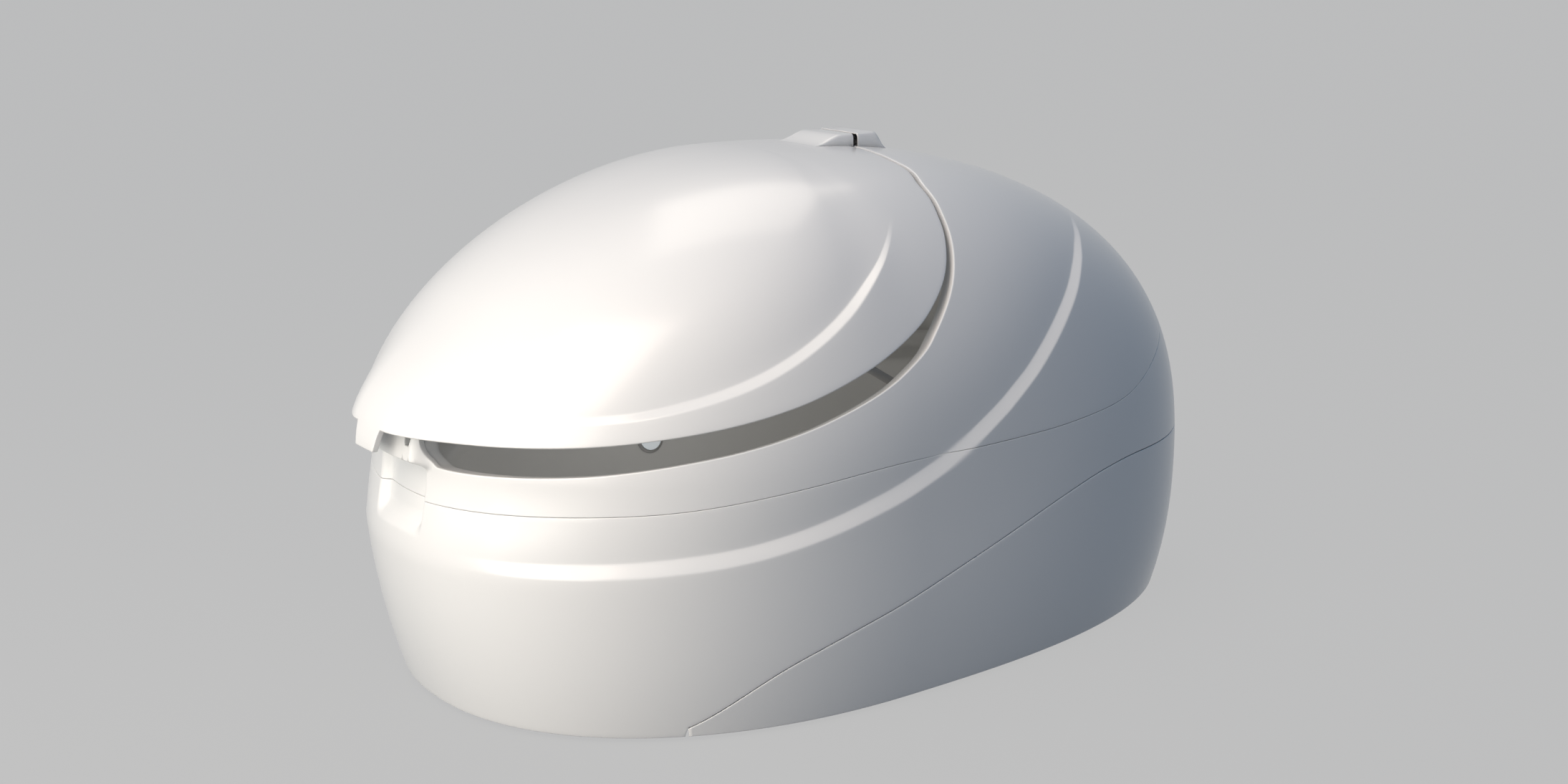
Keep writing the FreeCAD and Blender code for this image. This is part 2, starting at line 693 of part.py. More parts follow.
def skin_height(x):
    """Height of the crown's middle line at x, behind the crown axis."""
    share = (x - CROWN_X) / REAR_REACH
    h = REAR_BELT + (SHELL_HEIGHT - REAR_BELT) * (1 - share ** REAR_CROWN_POWER) ** (1 / REAR_CROWN_POWER)
    return GROUND_GAP + h


# ---- small shapes -----------------------------------------------------------------------------
X_AXIS, Y_AXIS, Z_AXIS = V(1, 0, 0), V(0, 1, 0), V(0, 0, 1)


def rod(start, axis, radius, length):
    return Part.makeCylinder(radius, length, start, axis)


def block(low, high):
    return Part.makeBox(high[0] - low[0], high[1] - low[1], high[2] - low[2], V(*low))


def prism(points, direction):
    """Solid of a flat outline pushed along a direction."""
    outline = [V(*p) for p in points]
    return Part.Face(Part.makePolygon(outline + outline[:1])).extrude(V(*direction))


def hexagon(centre, across, length):
    r = across / math.sqrt(3)
    ring_points = [centre + V(r * math.cos(math.pi * k / 3), r * math.sin(math.pi * k / 3), 0)
                   for k in range(6)]
    return Part.Face(Part.makePolygon(ring_points + ring_points[:1])).extrude(V(0, 0, length))


def one(shape):
    """The largest solid of a boolean result."""
    return max(shape.Solids, key=lambda s: s.Volume)


def mirrored(shape):
    return shape.mirror(V(0, 0, 0), Y_AXIS)


# ---- hinge --------------------------------------------------------------------------------------
PIN_Z = skin_height(HINGE_X) + HINGE_RISE
HINGE_HALF = (KNUCKLES * KNUCKLE_LEN + (KNUCKLES - 1) * KNUCKLE_GAP) / 2
BOLT_Y = HINGE_HALF * 0.6


def bolt_spots(side):
    """Bolt centres on a leaf: side is -1 on the lid, 1 on the base."""
    x = HINGE_X + side * LEAF_LEN * 0.72
    return [V(x, y, PIN_Z) for y in (-BOLT_Y, BOLT_Y)]


def leaf_top(side):
    return PIN_Z - HINGE_RISE + LEAF_T + (1 if side > 0 else 4)


def hinge_leaf(side, shell):
    """A leaf cut to the shell under it, with every other knuckle."""
    top = leaf_top(side)
    x_near, x_far = sorted((HINGE_X + side * (KNUCKLE_R + 2), HINGE_X + side * LEAF_LEN))
    leaf = block((x_near, -HINGE_HALF, top - LEAF_LOW), (x_far, HINGE_HALF, top))
    leaf = max(leaf.cut(shell).Solids, key=lambda s: s.BoundBox.ZMax)
    for k in range(KNUCKLES):
        if (k % 2 == 0) != (side > 0):
            continue
        y = -HINGE_HALF + k * (KNUCKLE_LEN + KNUCKLE_GAP)
        x_a, x_b = sorted((HINGE_X, HINGE_X + side * (KNUCKLE_R + 6)))
        web = block((x_a, y, top - LEAF_T + 1), (x_b, y + KNUCKLE_LEN, PIN_Z - KNUCKLE_R + LEAF_T))
        leaf = leaf.fuse(rod(V(HINGE_X, y, PIN_Z), Y_AXIS, KNUCKLE_R, KNUCKLE_LEN)).fuse(web)
    bore = PIN_R + (PIN_FIT if side < 0 else 0)
    leaf = leaf.cut(rod(V(HINGE_X, -HINGE_HALF - 1, PIN_Z), Y_AXIS, bore, 2 * HINGE_HALF + 2))
    for spot in bolt_spots(side):
        leaf = leaf.cut(rod(spot - V(0, 0, 60), Z_AXIS, BOLT_R + 0.3, 120))
    return one(leaf)


def hinge_bolts(side):
    """Two hexagon bolts that clamp a leaf through the shell."""
    out = []
    for spot in bolt_spots(side):
        base = V(spot.x, spot.y, leaf_top(side))
        head = hexagon(base, BOLT_R * 3.2, BOLT_R * 1.2)
        shank = rod(base - V(0, 0, BOLT_LEN), Z_AXIS, BOLT_R, BOLT_LEN + 0.5)
        out.append(head.fuse(shank))
    return Part.makeCompound(out)


def hinge_cover(side, far, ramp, near, shell):
    """Hollow cover over a leaf, open towards the pin, its ramp meeting the skin it is cut to."""
    top = PIN_Z + KNUCKLE_R + 1 + COVER_T
    foot = skin_height(HINGE_X + side * far)
    low = min(foot, PIN_Z - HINGE_RISE) - 4

    def body(t):
        outline = [(near - (1 if t else 0), low), (near - (1 if t else 0), top - t), (far - ramp, top - t),
                   (far - t, foot - t), (far - t, low)]
        return prism([(HINGE_X + side * x, t - COVER_HALF, z) for x, z in outline],
                     (0, 2 * (COVER_HALF - t), 0))

    return max(body(0).cut(body(COVER_T)).cut(shell).Solids, key=lambda s: s.BoundBox.ZMax)


# ---- gas struts -----------------------------------------------------------------------------
def turned(point, degrees):
    """A point of the X-Z plane turned about the hinge pin as the lid lifts."""
    t = math.radians(degrees)
    x, z = point.x - HINGE_X, point.z - PIN_Z
    return V(HINGE_X + x * math.cos(t) + z * math.sin(t), point.y, PIN_Z - x * math.sin(t) + z * math.cos(t))


STRUT_Y = SIDE_REACH - STRUT_INSET
STRUT_BASE = V(HINGE_X - STRUT_BASE_AHEAD, STRUT_Y, DECK_Z + STRUT_STAND)
STRUT_LID = V(HINGE_X - STRUT_LID_AHEAD, STRUT_Y, GROUND_GAP + SHELL_HEIGHT * STRUT_LID_LEVEL / 1000)
STRUT_SHUT = (STRUT_LID - STRUT_BASE).Length
STRUT_OPEN = (turned(STRUT_LID, LID_OPEN_DEG) - STRUT_BASE).Length
STRUT_STROKE = STRUT_OPEN - STRUT_SHUT
STRUT_AXIS = (STRUT_LID - STRUT_BASE).normalize()
TUBE_FOOT = STRUT_EYE_R + 6
TUBE_LEN = STRUT_SHUT - TUBE_FOOT - STRUT_EYE_R - 16
SEAL_LEN = 12.0
STUD_R = 4.0


def strut_eye(centre):
    """Flat disc at each end of a strut."""
    return rod(centre - Y_AXIS * (STRUT_EYE_T / 2), Y_AXIS, STRUT_EYE_R, STRUT_EYE_T)


def strut_cylinder():
    a = STRUT_AXIS
    start = STRUT_BASE + a * TUBE_FOOT
    tube = rod(start, a, STRUT_TUBE_R, TUBE_LEN)
    tube = tube.cut(rod(start + a * 6, a, STRUT_TUBE_R - STRUT_TUBE_WALL, TUBE_LEN - 6 - SEAL_LEN))
    tube = tube.cut(rod(start + a * 6, a, STRUT_ROD_R + PIN_FIT, TUBE_LEN))
    neck = rod(STRUT_BASE + a * (STRUT_EYE_R - 2), a, STRUT_EYE_T / 2, TUBE_FOOT - STRUT_EYE_R + 4)
    return one(tube.fuse(neck).fuse(strut_eye(STRUT_BASE)).cut(
        rod(STRUT_BASE - Y_AXIS * STRUT_EYE_T, Y_AXIS, STUD_R + PIN_FIT, STRUT_EYE_T * 2)))


def strut_rod():
    a = STRUT_AXIS
    foot = STRUT_BASE + a * (TUBE_FOOT + 6 + 4)
    length = STRUT_SHUT - TUBE_FOOT - 10 - STRUT_EYE_R + 2
    piston = rod(foot, a, STRUT_TUBE_R - STRUT_TUBE_WALL - 0.3, 8)
    return one(rod(foot, a, STRUT_ROD_R, length).fuse(piston).fuse(strut_eye(STRUT_LID)))


def strut_base_bracket():
    """Plate with a foot on the deck and the shouldered stud that the strut turns on."""
    x, z = STRUT_BASE.x, STRUT_BASE.z
    y = STRUT_Y + STRUT_TUBE_R + 1
    face = STRUT_Y + STRUT_EYE_T / 2 + STRUT_FIT
    plate = prism([(x - 32, y, DECK_Z), (x + 32, y, DECK_Z), (x + 13, y, z + 12), (x - 13, y, z + 12)],
                  (0, STRUT_PLATE_T, 0))
    foot = block((x - 32, y, DECK_Z), (x + 32, y + 36, DECK_Z + STRUT_PLATE_T))
    shoulder = rod(V(x, face, z), Y_AXIS, STUD_R + 3, y - face + 1)
    stud = rod(V(x, y, z), -Y_AXIS, STUD_R, y - STRUT_Y + STRUT_EYE_T / 2 + STRUT_FIT + 2)
    clip = rod(V(x, STRUT_Y - STRUT_EYE_T / 2 - STRUT_FIT, z), -Y_AXIS, STUD_R + 2, 2)
    return one(plate.fuse(foot).fuse(shoulder).fuse(stud).fuse(clip))


def strut_lid_bracket(cavity):
    """Plate that hangs from the lid's liner, its stud ending beside the strut's closed eye."""
    x, z = STRUT_LID.x, STRUT_LID.z
    y = STRUT_Y + STRUT_ROD_R + 3
    plate = prism([(x - 14, y, z - 13), (x + 14, y, z - 13), (x + 30, y, z + 90), (x - 30, y, z + 90)],
                  (0, STRUT_PLATE_T, 0))
    foot = block((x - 30, y, z + 20), (x + 30, y + 60, z + 20 + STRUT_PLATE_T))
    stud = rod(V(x, STRUT_Y + STRUT_ROD_R + STRUT_FIT, z), Y_AXIS, STUD_R + 2, 3)
    return one(plate.fuse(foot).fuse(stud).common(cavity))


# ---- frame and services -----------------------------------------------------------------------
def rail(low, high, hollow_axis):
    """Square tube between two corners, open at both ends."""
    inner_low = [a + (0 if i == hollow_axis else RAIL_WALL) for i, a in enumerate(low)]
    inner_high = [a - (0 if i == hollow_axis else RAIL_WALL) for i, a in enumerate(high)]
    return block(low, high).cut(block(inner_low, inner_high))


RAIL_TOP = RAIL_Z + RAIL
CROSS_X = [-RAIL_FRONT + 60, -RAIL_FRONT / 3 + 40, RAIL_REAR / 3, RAIL_REAR - RAIL]


def underframe():
    """Two long rails joined by cross tubes; two stubs behind the last one carry the plant tray."""
    frame = rail((-RAIL_FRONT, -RAIL_Y - RAIL, RAIL_Z), (RAIL_REAR, -RAIL_Y, RAIL_TOP), 0)
    frame = frame.fuse(rail((-RAIL_FRONT, RAIL_Y, RAIL_Z), (RAIL_REAR, RAIL_Y + RAIL, RAIL_TOP), 0))
    for x in CROSS_X:
        frame = frame.fuse(rail((x, -RAIL_Y, RAIL_Z), (x + RAIL, RAIL_Y, RAIL_TOP), 1))
    for y in (-STUB_Y - RAIL / 2, STUB_Y - RAIL / 2):
        frame = frame.fuse(rail((RAIL_REAR, y, RAIL_Z), (STUB_REAR, y + RAIL, RAIL_TOP), 0))
    return one(frame)


FOOT_X = (-RAIL_FRONT + 85, RAIL_REAR / 3 + RAIL / 2, RAIL_REAR - RAIL / 2)


def levelling_feet():
    feet = []
    for x in FOOT_X:
        for y in (-RAIL_Y - RAIL / 2, RAIL_Y + RAIL / 2):
            pad = Part.makeCone(FOOT_R, FOOT_R * 0.75, FOOT_PAD, V(x, y, 0))
            stem = rod(V(x, y, FOOT_PAD - 1), Z_AXIS, FOOT_STEM_R, RAIL_Z - FOOT_PAD + 1)
            nut = hexagon(V(x, y, RAIL_Z - 12), FOOT_STEM_R * 3, 12)
            feet.append(pad.fuse(stem).fuse(nut))
    return Part.makeCompound(feet)


def floor_board():
    """Insulated board between the frame and the heater under the basin's floor."""
    top = FLOOR_Z - LINER_WALL - HEATER_T
    inset = FLOOR_INSET + 20
    loop = COARSE[::2]
    rings = [[V(CROWN_X, 0, RAIL_TOP)], shelf(loop, RAIL_TOP, inset),
             shelf(loop, top, inset), [V(CROWN_X, 0, top)]]
    return net(rings)


def heater_pad():
    top = FLOOR_Z - LINER_WALL
    return block((CROWN_X - HEATER_HALF_X, -HEATER_HALF_Y, top - HEATER_T),
                 (CROWN_X + HEATER_HALF_X, HEATER_HALF_Y, top))


def plant_tray():
    """Tray with clipped rear corners and a low lip at its front edge."""
    far = TRAY_X + TRAY_DEPTH
    corners = [(TRAY_X, -TRAY_HALF), (far - TRAY_CLIP, -TRAY_HALF), (far, -TRAY_HALF + TRAY_CLIP),
               (far, TRAY_HALF - TRAY_CLIP), (far - TRAY_CLIP, TRAY_HALF), (TRAY_X, TRAY_HALF)]
    tray = prism([(x, y, RAIL_TOP) for x, y in corners], (0, 0, TRAY_T))
    lip = block((TRAY_X, -TRAY_HALF, RAIL_TOP), (TRAY_X + 2, TRAY_HALF, RAIL_TOP + 22))
    return one(tray.fuse(lip))


TRAY_TOP = RAIL_TOP + TRAY_T
PLANT_X = TRAY_X + TRAY_DEPTH / 2
PUMP_Y = -100.0
FILTER_Y = 150.0
UV_Y = 290.0
BOX_Y = -278.0
PUMP_AXIS_Z = TRAY_TOP + PUMP_R + 12
PUMP_OUT_Z = PUMP_AXIS_Z + PUMP_R + 20
LINK_Z = PUMP_OUT_Z + 30     # axis of the pipes between the plant's pieces


def pump():
    """Circulation pump: finned motor, volute with its upward outlet, and a foot."""
    y_motor = PUMP_Y - PUMP_LEN / 2
    motor = rod(V(PLANT_X, y_motor, PUMP_AXIS_Z), Y_AXIS, PUMP_R * 0.86, PUMP_LEN * 0.66)
    for k in range(4):
        fin = rod(V(PLANT_X, y_motor + 16 + k * 24, PUMP_AXIS_Z), Y_AXIS, PUMP_R * 0.96, 6)
        motor = motor.fuse(fin)
    volute = rod(V(PLANT_X, y_motor + PUMP_LEN * 0.66, PUMP_AXIS_Z), Y_AXIS, PUMP_R, PUMP_LEN * 0.34)
    outlet = rod(V(PLANT_X, PUMP_Y + PUMP_LEN * 0.33, PUMP_AXIS_Z), Z_AXIS, PIPE_R + 4, PUMP_R + 20)
    foot = block((PLANT_X - 42, y_motor + 10, TRAY_TOP),
                 (PLANT_X + 42, PUMP_Y + PUMP_LEN / 2 - 10, PUMP_AXIS_Z - 30))
    return one(motor.fuse(volute).fuse(outlet).fuse(foot))


def filter_housing():
    low = TRAY_TOP
    body = Part.makeCone(FILTER_R * 0.88, FILTER_R, FILTER_H, V(PLANT_X, FILTER_Y, low))
    collar = rod(V(PLANT_X, FILTER_Y, low + FILTER_H), Z_AXIS, FILTER_R + 8, 14)
    hollow = rod(V(PLANT_X, FILTER_Y, low + 6), Z_AXIS, FILTER_R * 0.88 - 5, FILTER_H + 14)
    ports = rod(V(PLANT_X, FILTER_Y - FILTER_R - 12, LINK_Z), Y_AXIS, PIPE_R + 4, 2 * FILTER_R + 24)
    return one(body.fuse(collar).fuse(ports).cut(hollow))


def filter_cap():
    low = TRAY_TOP + FILTER_H + 14
    cap = rod(V(PLANT_X, FILTER_Y, low), Z_AXIS, FILTER_R + 8, 16)
    bar = block((PLANT_X - FILTER_R * 0.7, FILTER_Y - 8, low + 15),
                (PLANT_X + FILTER_R * 0.7, FILTER_Y + 8, low + 32))
    return one(cap.fuse(bar))


def uv_unit():
    body = rod(V(PLANT_X, UV_Y, TRAY_TOP), Z_AXIS, UV_R, UV_H)
    for z in (0, UV_H - 34):
        body = body.fuse(rod(V(PLANT_X, UV_Y, TRAY_TOP + z), Z_AXIS, UV_R + 7, 34))
    port = rod(V(PLANT_X, UV_Y, LINK_Z), -Y_AXIS, PIPE_R + 4, UV_R + 14)
    return one(body.fuse(port))


VALVE_Y = (PUMP_Y + PUMP_LEN * 0.33 + FILTER_Y - FILTER_R - 12) / 2


def valve_body():
    """Ball valve in the pipe from the pump to the filter, its stem seat on top."""
    body = rod(V(PLANT_X, VALVE_Y - 20, LINK_Z), Y_AXIS, VALVE_R, 40)
    seat = rod(V(PLANT_X, VALVE_Y, LINK_Z), Z_AXIS, 13, VALVE_R + 8)
    stem_hole = rod(V(PLANT_X, VALVE_Y, LINK_Z + VALVE_R - 8), Z_AXIS, 6 + PIN_FIT, 30)
    return one(body.fuse(seat).cut(stem_hole))


def valve_lever():
    """Lever and stem that turn a quarter."""
    top = LINK_Z + VALVE_R + 8 + 0.3
    stem = rod(V(PLANT_X, VALVE_Y, top - 15), Z_AXIS, 6, 15)
    hub = rod(V(PLANT_X, VALVE_Y, top), Z_AXIS, 14, 9)
    arm = block((PLANT_X - 8, VALVE_Y - 62, top + 3), (PLANT_X + 8, VALVE_Y, top + 9))
    return one(stem.fuse(hub).fuse(arm))


def pump_pipe():
    """Elbow from the pump's outlet to the valve."""
    y_pump = PUMP_Y + PUMP_LEN * 0.33
    y_valve = VALVE_Y - 20
    up = rod(V(PLANT_X, y_pump, PUMP_OUT_Z), Z_AXIS, PIPE_R, LINK_Z + PIPE_R - PUMP_OUT_Z)
    across = rod(V(PLANT_X, y_pump, LINK_Z), Y_AXIS, PIPE_R, y_valve - y_pump)
    return one(up.fuse(across))


def link_pipe(y_from, y_to):
    return rod(V(PLANT_X, y_from, LINK_Z), Y_AXIS, PIPE_R, y_to - y_from)


def control_box():
    """Closed controller housing with a lid line and two glands."""
    w, d, h = BOX_SIZE
    low = (PLANT_X - w / 2, BOX_Y - d / 2, TRAY_TOP)
    body = block(low, (low[0] + w, low[1] + d, low[2] + h))
    upright = [e for e in body.Edges if abs(e.tangentAt(e.FirstParameter).z) > 0.99]
    body = body.makeFillet(9, upright)
    groove = block((low[0] - 1, low[1] - 1, low[2] + h - 34), (low[0] + w + 1, low[1] + d + 1, low[2] + h - 31))
    core = block((low[0] + 3, low[1] + 3, low[2]), (low[0] + w - 3, low[1] + d - 3, low[2] + h))
    body = body.cut(groove.cut(core))
    for dy in (-30, 30):
        body = body.fuse(rod(V(PLANT_X, BOX_Y + dy, low[2] + h - 1), Z_AXIS, 10, 15))
    return one(body)


def rear_fitting(apron, y, z, radius, out, bore):
    """Round fitting on the rear skin, its back cut to the skin's curve, with a blind bore."""
    start = V(STUB_REAR, y, z)
    skin = rod(start, X_AXIS, radius, REAR_REACH).common(apron).BoundBox.XMax
    body = rod(start, X_AXIS, radius, skin + out - start.x)
    body = body.cut(rod(V(skin + 2, y, z), X_AXIS, bore, out))
    return max(body.cut(apron).Solids, key=lambda s: s.BoundBox.XMax)


def shell_brackets(plug):
    """Angles from the frame's rails out to the tub's shell, cut to its inner face."""
    brackets = []
    for x in BRACKET_X:
        for side in (1, -1):
            y_a, y_b = sorted((side * (RAIL_Y + RAIL), side * SIDE_REACH))
            arm = block((x - BRACKET_HALF, y_a, RAIL_TOP - BRACKET_T), (x + BRACKET_HALF, y_b, RAIL_TOP))
            brackets.append(one(arm.common(plug)))
    return Part.makeCompound(brackets)


# ---- fittings in the basin ----------------------------------------------------------------------
def wall_fitting(hollow, spot, radius, out, bore=0.0):
    """Round fitting on the basin's -Y wall, its back cut to the wall."""
    x, z = spot
    back = -SIDE_REACH + BASIN_TOP_INSET - 60
    probe = rod(V(x, back, z), Y_AXIS, radius, 300).common(hollow)
    depth = one(probe).BoundBox.YMin + out
    body = rod(V(x, back, z), Y_AXIS, radius, depth - back).common(hollow)
    if bore:
        body = body.cut(rod(V(x, depth, z), -Y_AXIS, bore, out * 0.5))
    return one(body)


def floor_grate():
    body = rod(V(GRATE_X, 0, FLOOR_Z), Z_AXIS, GRATE_R, GRATE_H)
    for k in range(-2, 3):
        y = k * 12
        body = body.cut(block((GRATE_X - 22, y - 2.5, FLOOR_Z + 3), (GRATE_X + 22, y + 2.5, FLOOR_Z + GRATE_H + 1)))
    return one(body)


def button_bezel():
    body = rod(V(0, -BUTTON_Y, DECK_Z), Z_AXIS, BEZEL_R, BEZEL_H)
    return one(body.cut(rod(V(0, -BUTTON_Y, DECK_Z + 3), Z_AXIS, BUTTON_R + BUTTON_FIT, BEZEL_H)))


def button():
    low = DECK_Z + 3 + BUTTON_TRAVEL + 0.5
    return rod(V(0, -BUTTON_Y, low), Z_AXIS, BUTTON_R, BEZEL_H - 3 - BUTTON_TRAVEL - 0.5 + BUTTON_RISE)


def lid_grip(cavity):
    """Bar on two posts inside the lid's front, for closing it from within."""
    x, z = CROWN_X - FRONT_REACH + GRIP_BEHIND, lid_line(180) + GRIP_OVER
    bar = rod(V(x, -GRIP_HALF, z), Y_AXIS, GRIP_R, 2 * GRIP_HALF)
    for y in (-GRIP_HALF + 20, GRIP_HALF - 20):
        bar = bar.fuse(rod(V(x, y, z), V(-1, 0, 0.9), GRIP_R * 0.8, 260))
    return one(bar.common(cavity))


def nose_buffer(hood, lid_under):
    """Rubber stop on the rim of the base's nose, filling the gap under the flange of the lid's liner."""
    angle = nose_angle(BUFFER_Y)
    rim = base_rim(angle, BUFFER_Y)
    spot = base_point((angle, 1, BUFFER_Y), rim, WALL)
    post = rod(V(spot.x, spot.y, spot.z - 4), Z_AXIS, BUFFER_R, 30)
    rest = post.cut(hood).cut(lid_under.translated(V(0, 0, -SKIN_FIT)))
    return min(rest.Solids, key=lambda s: abs(s.CenterOfMass.z - spot.z - 3))


PIECES = {}


def add(node, shape):
    PIECES[node] = shape


def make_all():
    lid_hollow = lid_plug(LINER_INSET + LINER_WALL + SKIN_FIT, lid_liner_rows, False)
    basin_hollow = basin_plug()

    bolt_holes = [rod(s - V(0, 0, 80), Z_AXIS, BOLT_R + 0.3, 160) for s in bolt_spots(-1)]
    lid = lid_shell()
    for hole in bolt_holes:
        lid = lid.cut(hole)
    add("lid_shell", one(lid))
    add("lid_liner", lid_liner())
    add("lid_seal", lid_seal())
    hood = hood_shell()
    for hole in [rod(s - V(0, 0, 80), Z_AXIS, BOLT_R + 0.3, 160) for s in bolt_spots(1)]:
        hood = hood.cut(hole)
    add("hood_shell", one(hood))
    add("hood_liner", hood_liner())
    buffer = nose_buffer(hood, PIECES["lid_liner"].fuse(PIECES["lid_seal"]))
    add("nose_buffer_right", buffer)
    add("nose_buffer_left", mirrored(buffer))
    add("tub_shell", tub_shell())
    add("service_apron", service_apron())
    add("tub_liner", tub_liner())

    lid, hood = PIECES["lid_shell"], PIECES["hood_shell"]
    add("hinge_lid_leaf", hinge_leaf(-1, lid))
    add("hinge_base_leaf", hinge_leaf(1, hood))
    add("hinge_pin", rod(V(HINGE_X, -HINGE_HALF - 3, PIN_Z), Y_AXIS, PIN_R, 2 * HINGE_HALF + 6))
    add("hinge_lid_bolts", hinge_bolts(-1))
    add("hinge_base_bolts", hinge_bolts(1))
    add("hinge_lid_cover", hinge_cover(-1, COVER_FRONT, COVER_FRONT_RAMP, COVER_NOTCH_FRONT, lid))
    add("hinge_base_cover", hinge_cover(1, COVER_REAR, COVER_REAR_RAMP, COVER_NOTCH_REAR, hood))

    for side, name in ((1, "right"), (-1, "left")):
        turn = (lambda s: s) if side > 0 else mirrored
        add("strut_cylinder_" + name, turn(strut_cylinder()))
        add("strut_rod_" + name, turn(strut_rod()))
        add("strut_base_bracket_" + name, turn(strut_base_bracket()))
        add("strut_lid_bracket_" + name, turn(strut_lid_bracket(lid_hollow)))
        other = (lambda s: s) if side < 0 else mirrored
        add("light_" + name, other(wall_fitting(basin_hollow, LIGHT_SPOT, LIGHT_R, LIGHT_T)))
        add("jet_" + name, other(wall_fitting(basin_hollow, JET_SPOT, JET_R, JET_T, JET_BORE)))
        add("suction_" + name, other(wall_fitting(basin_hollow, SUCTION_SPOT, GRATE_R, SUCTION_T)))
    add("floor_grate", floor_grate())
    add("light_bezel", button_bezel())
    add("light_button", button())
    add("help_bezel", mirrored(button_bezel()))
    add("help_button", mirrored(button()))
    add("lid_grip", lid_grip(lid_hollow))

    add("underframe", underframe())
    add("levelling_feet", levelling_feet())
    add("floor_board", floor_board())
    add("heater_pad", heater_pad())
    add("plant_tray", plant_tray())
    add("pump", pump())
    add("filter_housing", filter_housing())
    add("filter_cap", filter_cap())
    add("uv_unit", uv_unit())
    add("pump_pipe", pump_pipe())
    add("valve_body", valve_body())
    add("valve_lever", valve_lever())
    add("filter_pipe", link_pipe(VALVE_Y + 20, FILTER_Y - FILTER_R - 12))
    add("uv_pipe", link_pipe(FILTER_Y + FILTER_R + 12, UV_Y - UV_R - 14))
    add("control_box", control_box())
    apron = PIECES["service_apron"]
    add("mains_inlet", rear_fitting(apron, -CONNECTION_Y, INLET_Z, INLET_R, INLET_OUT, INLET_BORE))
    add("drain_outlet", rear_fitting(apron, CONNECTION_Y, DRAIN_Z, DRAIN_R, DRAIN_OUT, DRAIN_BORE))
    add("shell_brackets", shell_brackets(base_plug(WALL + LEDGE + SKIN_FIT)))


def export():
    for node, shape in PIECES.items():
        shape.exportStep("parts/" + node + ".step")
    print(len(PIECES), "nodes")


make_all()
export()
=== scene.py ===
# %% [markdown]
# # A flotation tank in white gelcoat
# The pod is an egg: a closed plan curve at every height, drawn about one upright axis. Lid, hood, tub and
# apron are bands of that one skin between edge lines that run round the pod, so they meet exactly.
# Lengths in the formulas are millimetres, and become metres when a mesh is made.

# %% Frame
import json
import math

import bpy
import numpy as np
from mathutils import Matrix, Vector

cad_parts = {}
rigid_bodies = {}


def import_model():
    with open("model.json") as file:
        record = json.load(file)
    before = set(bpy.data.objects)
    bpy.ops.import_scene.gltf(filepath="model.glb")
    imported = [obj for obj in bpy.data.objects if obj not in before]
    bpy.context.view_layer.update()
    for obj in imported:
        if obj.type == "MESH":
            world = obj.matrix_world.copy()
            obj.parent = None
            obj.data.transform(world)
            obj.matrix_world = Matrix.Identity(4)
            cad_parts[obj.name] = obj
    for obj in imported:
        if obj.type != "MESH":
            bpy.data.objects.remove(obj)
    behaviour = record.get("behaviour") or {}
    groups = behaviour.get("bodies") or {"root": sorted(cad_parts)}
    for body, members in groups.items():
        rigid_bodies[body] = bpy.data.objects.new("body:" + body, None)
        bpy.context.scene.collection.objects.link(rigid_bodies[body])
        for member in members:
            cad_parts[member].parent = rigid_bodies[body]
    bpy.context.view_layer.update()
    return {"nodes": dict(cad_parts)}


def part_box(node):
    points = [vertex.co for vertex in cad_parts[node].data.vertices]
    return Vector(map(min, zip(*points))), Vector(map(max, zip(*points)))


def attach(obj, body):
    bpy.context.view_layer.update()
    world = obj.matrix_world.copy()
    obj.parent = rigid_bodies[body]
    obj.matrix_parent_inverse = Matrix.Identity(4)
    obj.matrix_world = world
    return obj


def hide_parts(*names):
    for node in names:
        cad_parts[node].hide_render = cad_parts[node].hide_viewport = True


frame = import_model()
print(len(frame["nodes"]), "CAD pieces in the frame")

# %% [markdown]
# ## The egg
# `reach` is half the plan's size at a height: full at the belt, closing over it as a superellipse and
# tucking in below it. Front and rear have their own belts and powers, which is what makes an egg of it.

# %% The plain form
GROUND, HEIGHT = 12.0, 1310.0
FRONT = dict(top=1069.0, foot=976.0, belt=637.0, crown=1.75, tuck=2.25)
REAR = dict(top=1371.0, foot=1321.0, belt=343.0, crown=2.35, tuck=2.3)
SIDE = dict(top=762.5, foot=721.5, belt=464.0, crown=2.6, tuck=2.55)
FRONT_PLAN, REAR_PLAN, SINK_POWER = 2.2, 2.6, 1.6
CROWN_X, CROWN_Z = -121.0, GROUND + HEIGHT


def ease(t):
    """Smooth step: 3t^2 - 2t^3 between 0 and 1."""
    t = np.clip(t, 0.0, 1.0)
    return t * t * (3 - 2 * t)


def reach(h, top, foot, belt, crown, tuck):
    """Above the belt top*(1 - s^crown)^(1/crown), s running 0 to 1 from belt to crown; below it
    foot + (top - foot)*(1 - q^tuck), q running 0 to 1 from belt to floor."""
    s = np.clip((h - belt) / (HEIGHT - belt), 0.0, 1.0)
    q = np.clip((belt - h) / belt, 0.0, 1.0)
    return np.where(h > belt, top * (1 - s ** crown) ** (1 / crown), foot + (top - foot) * (1 - q ** tuck))


def sink(z):
    """An inner skin's drop towards the crown, as a share of its inset: s^1.6 above the side's belt."""
    return np.clip((z - GROUND - SIDE["belt"]) / (HEIGHT - SIDE["belt"]), 0, 1) ** SINK_POWER


def egg(angle, z, inset=0.0):
    """Point of the egg at a signed angle (180 nose, 0 rear, plus on +Y) and a row height: x and y are
    reach * |cos|^(2/power) and reach * |sin|^(2/power); an inner skin has its reaches shortened by the
    inset and sinks by a share of it."""
    angle, z, inset = np.broadcast_arrays(angle, z, inset)
    h = z - GROUND
    c, s = np.cos(np.radians(angle)), np.sin(np.radians(angle))

    def size(part):
        return reach(h, part["top"] - inset, part["foot"] - inset, part["belt"], part["crown"], part["tuck"])

    front = c < 0
    power = np.where(front, FRONT_PLAN, REAR_PLAN)
    run = np.where(front, -size(FRONT), size(REAR))
    return np.stack([CROWN_X + run * np.abs(c) ** (2 / power),
                     np.sign(s) * size(SIDE) * np.abs(s) ** (2 / power), z - inset * sink(z)], -1)


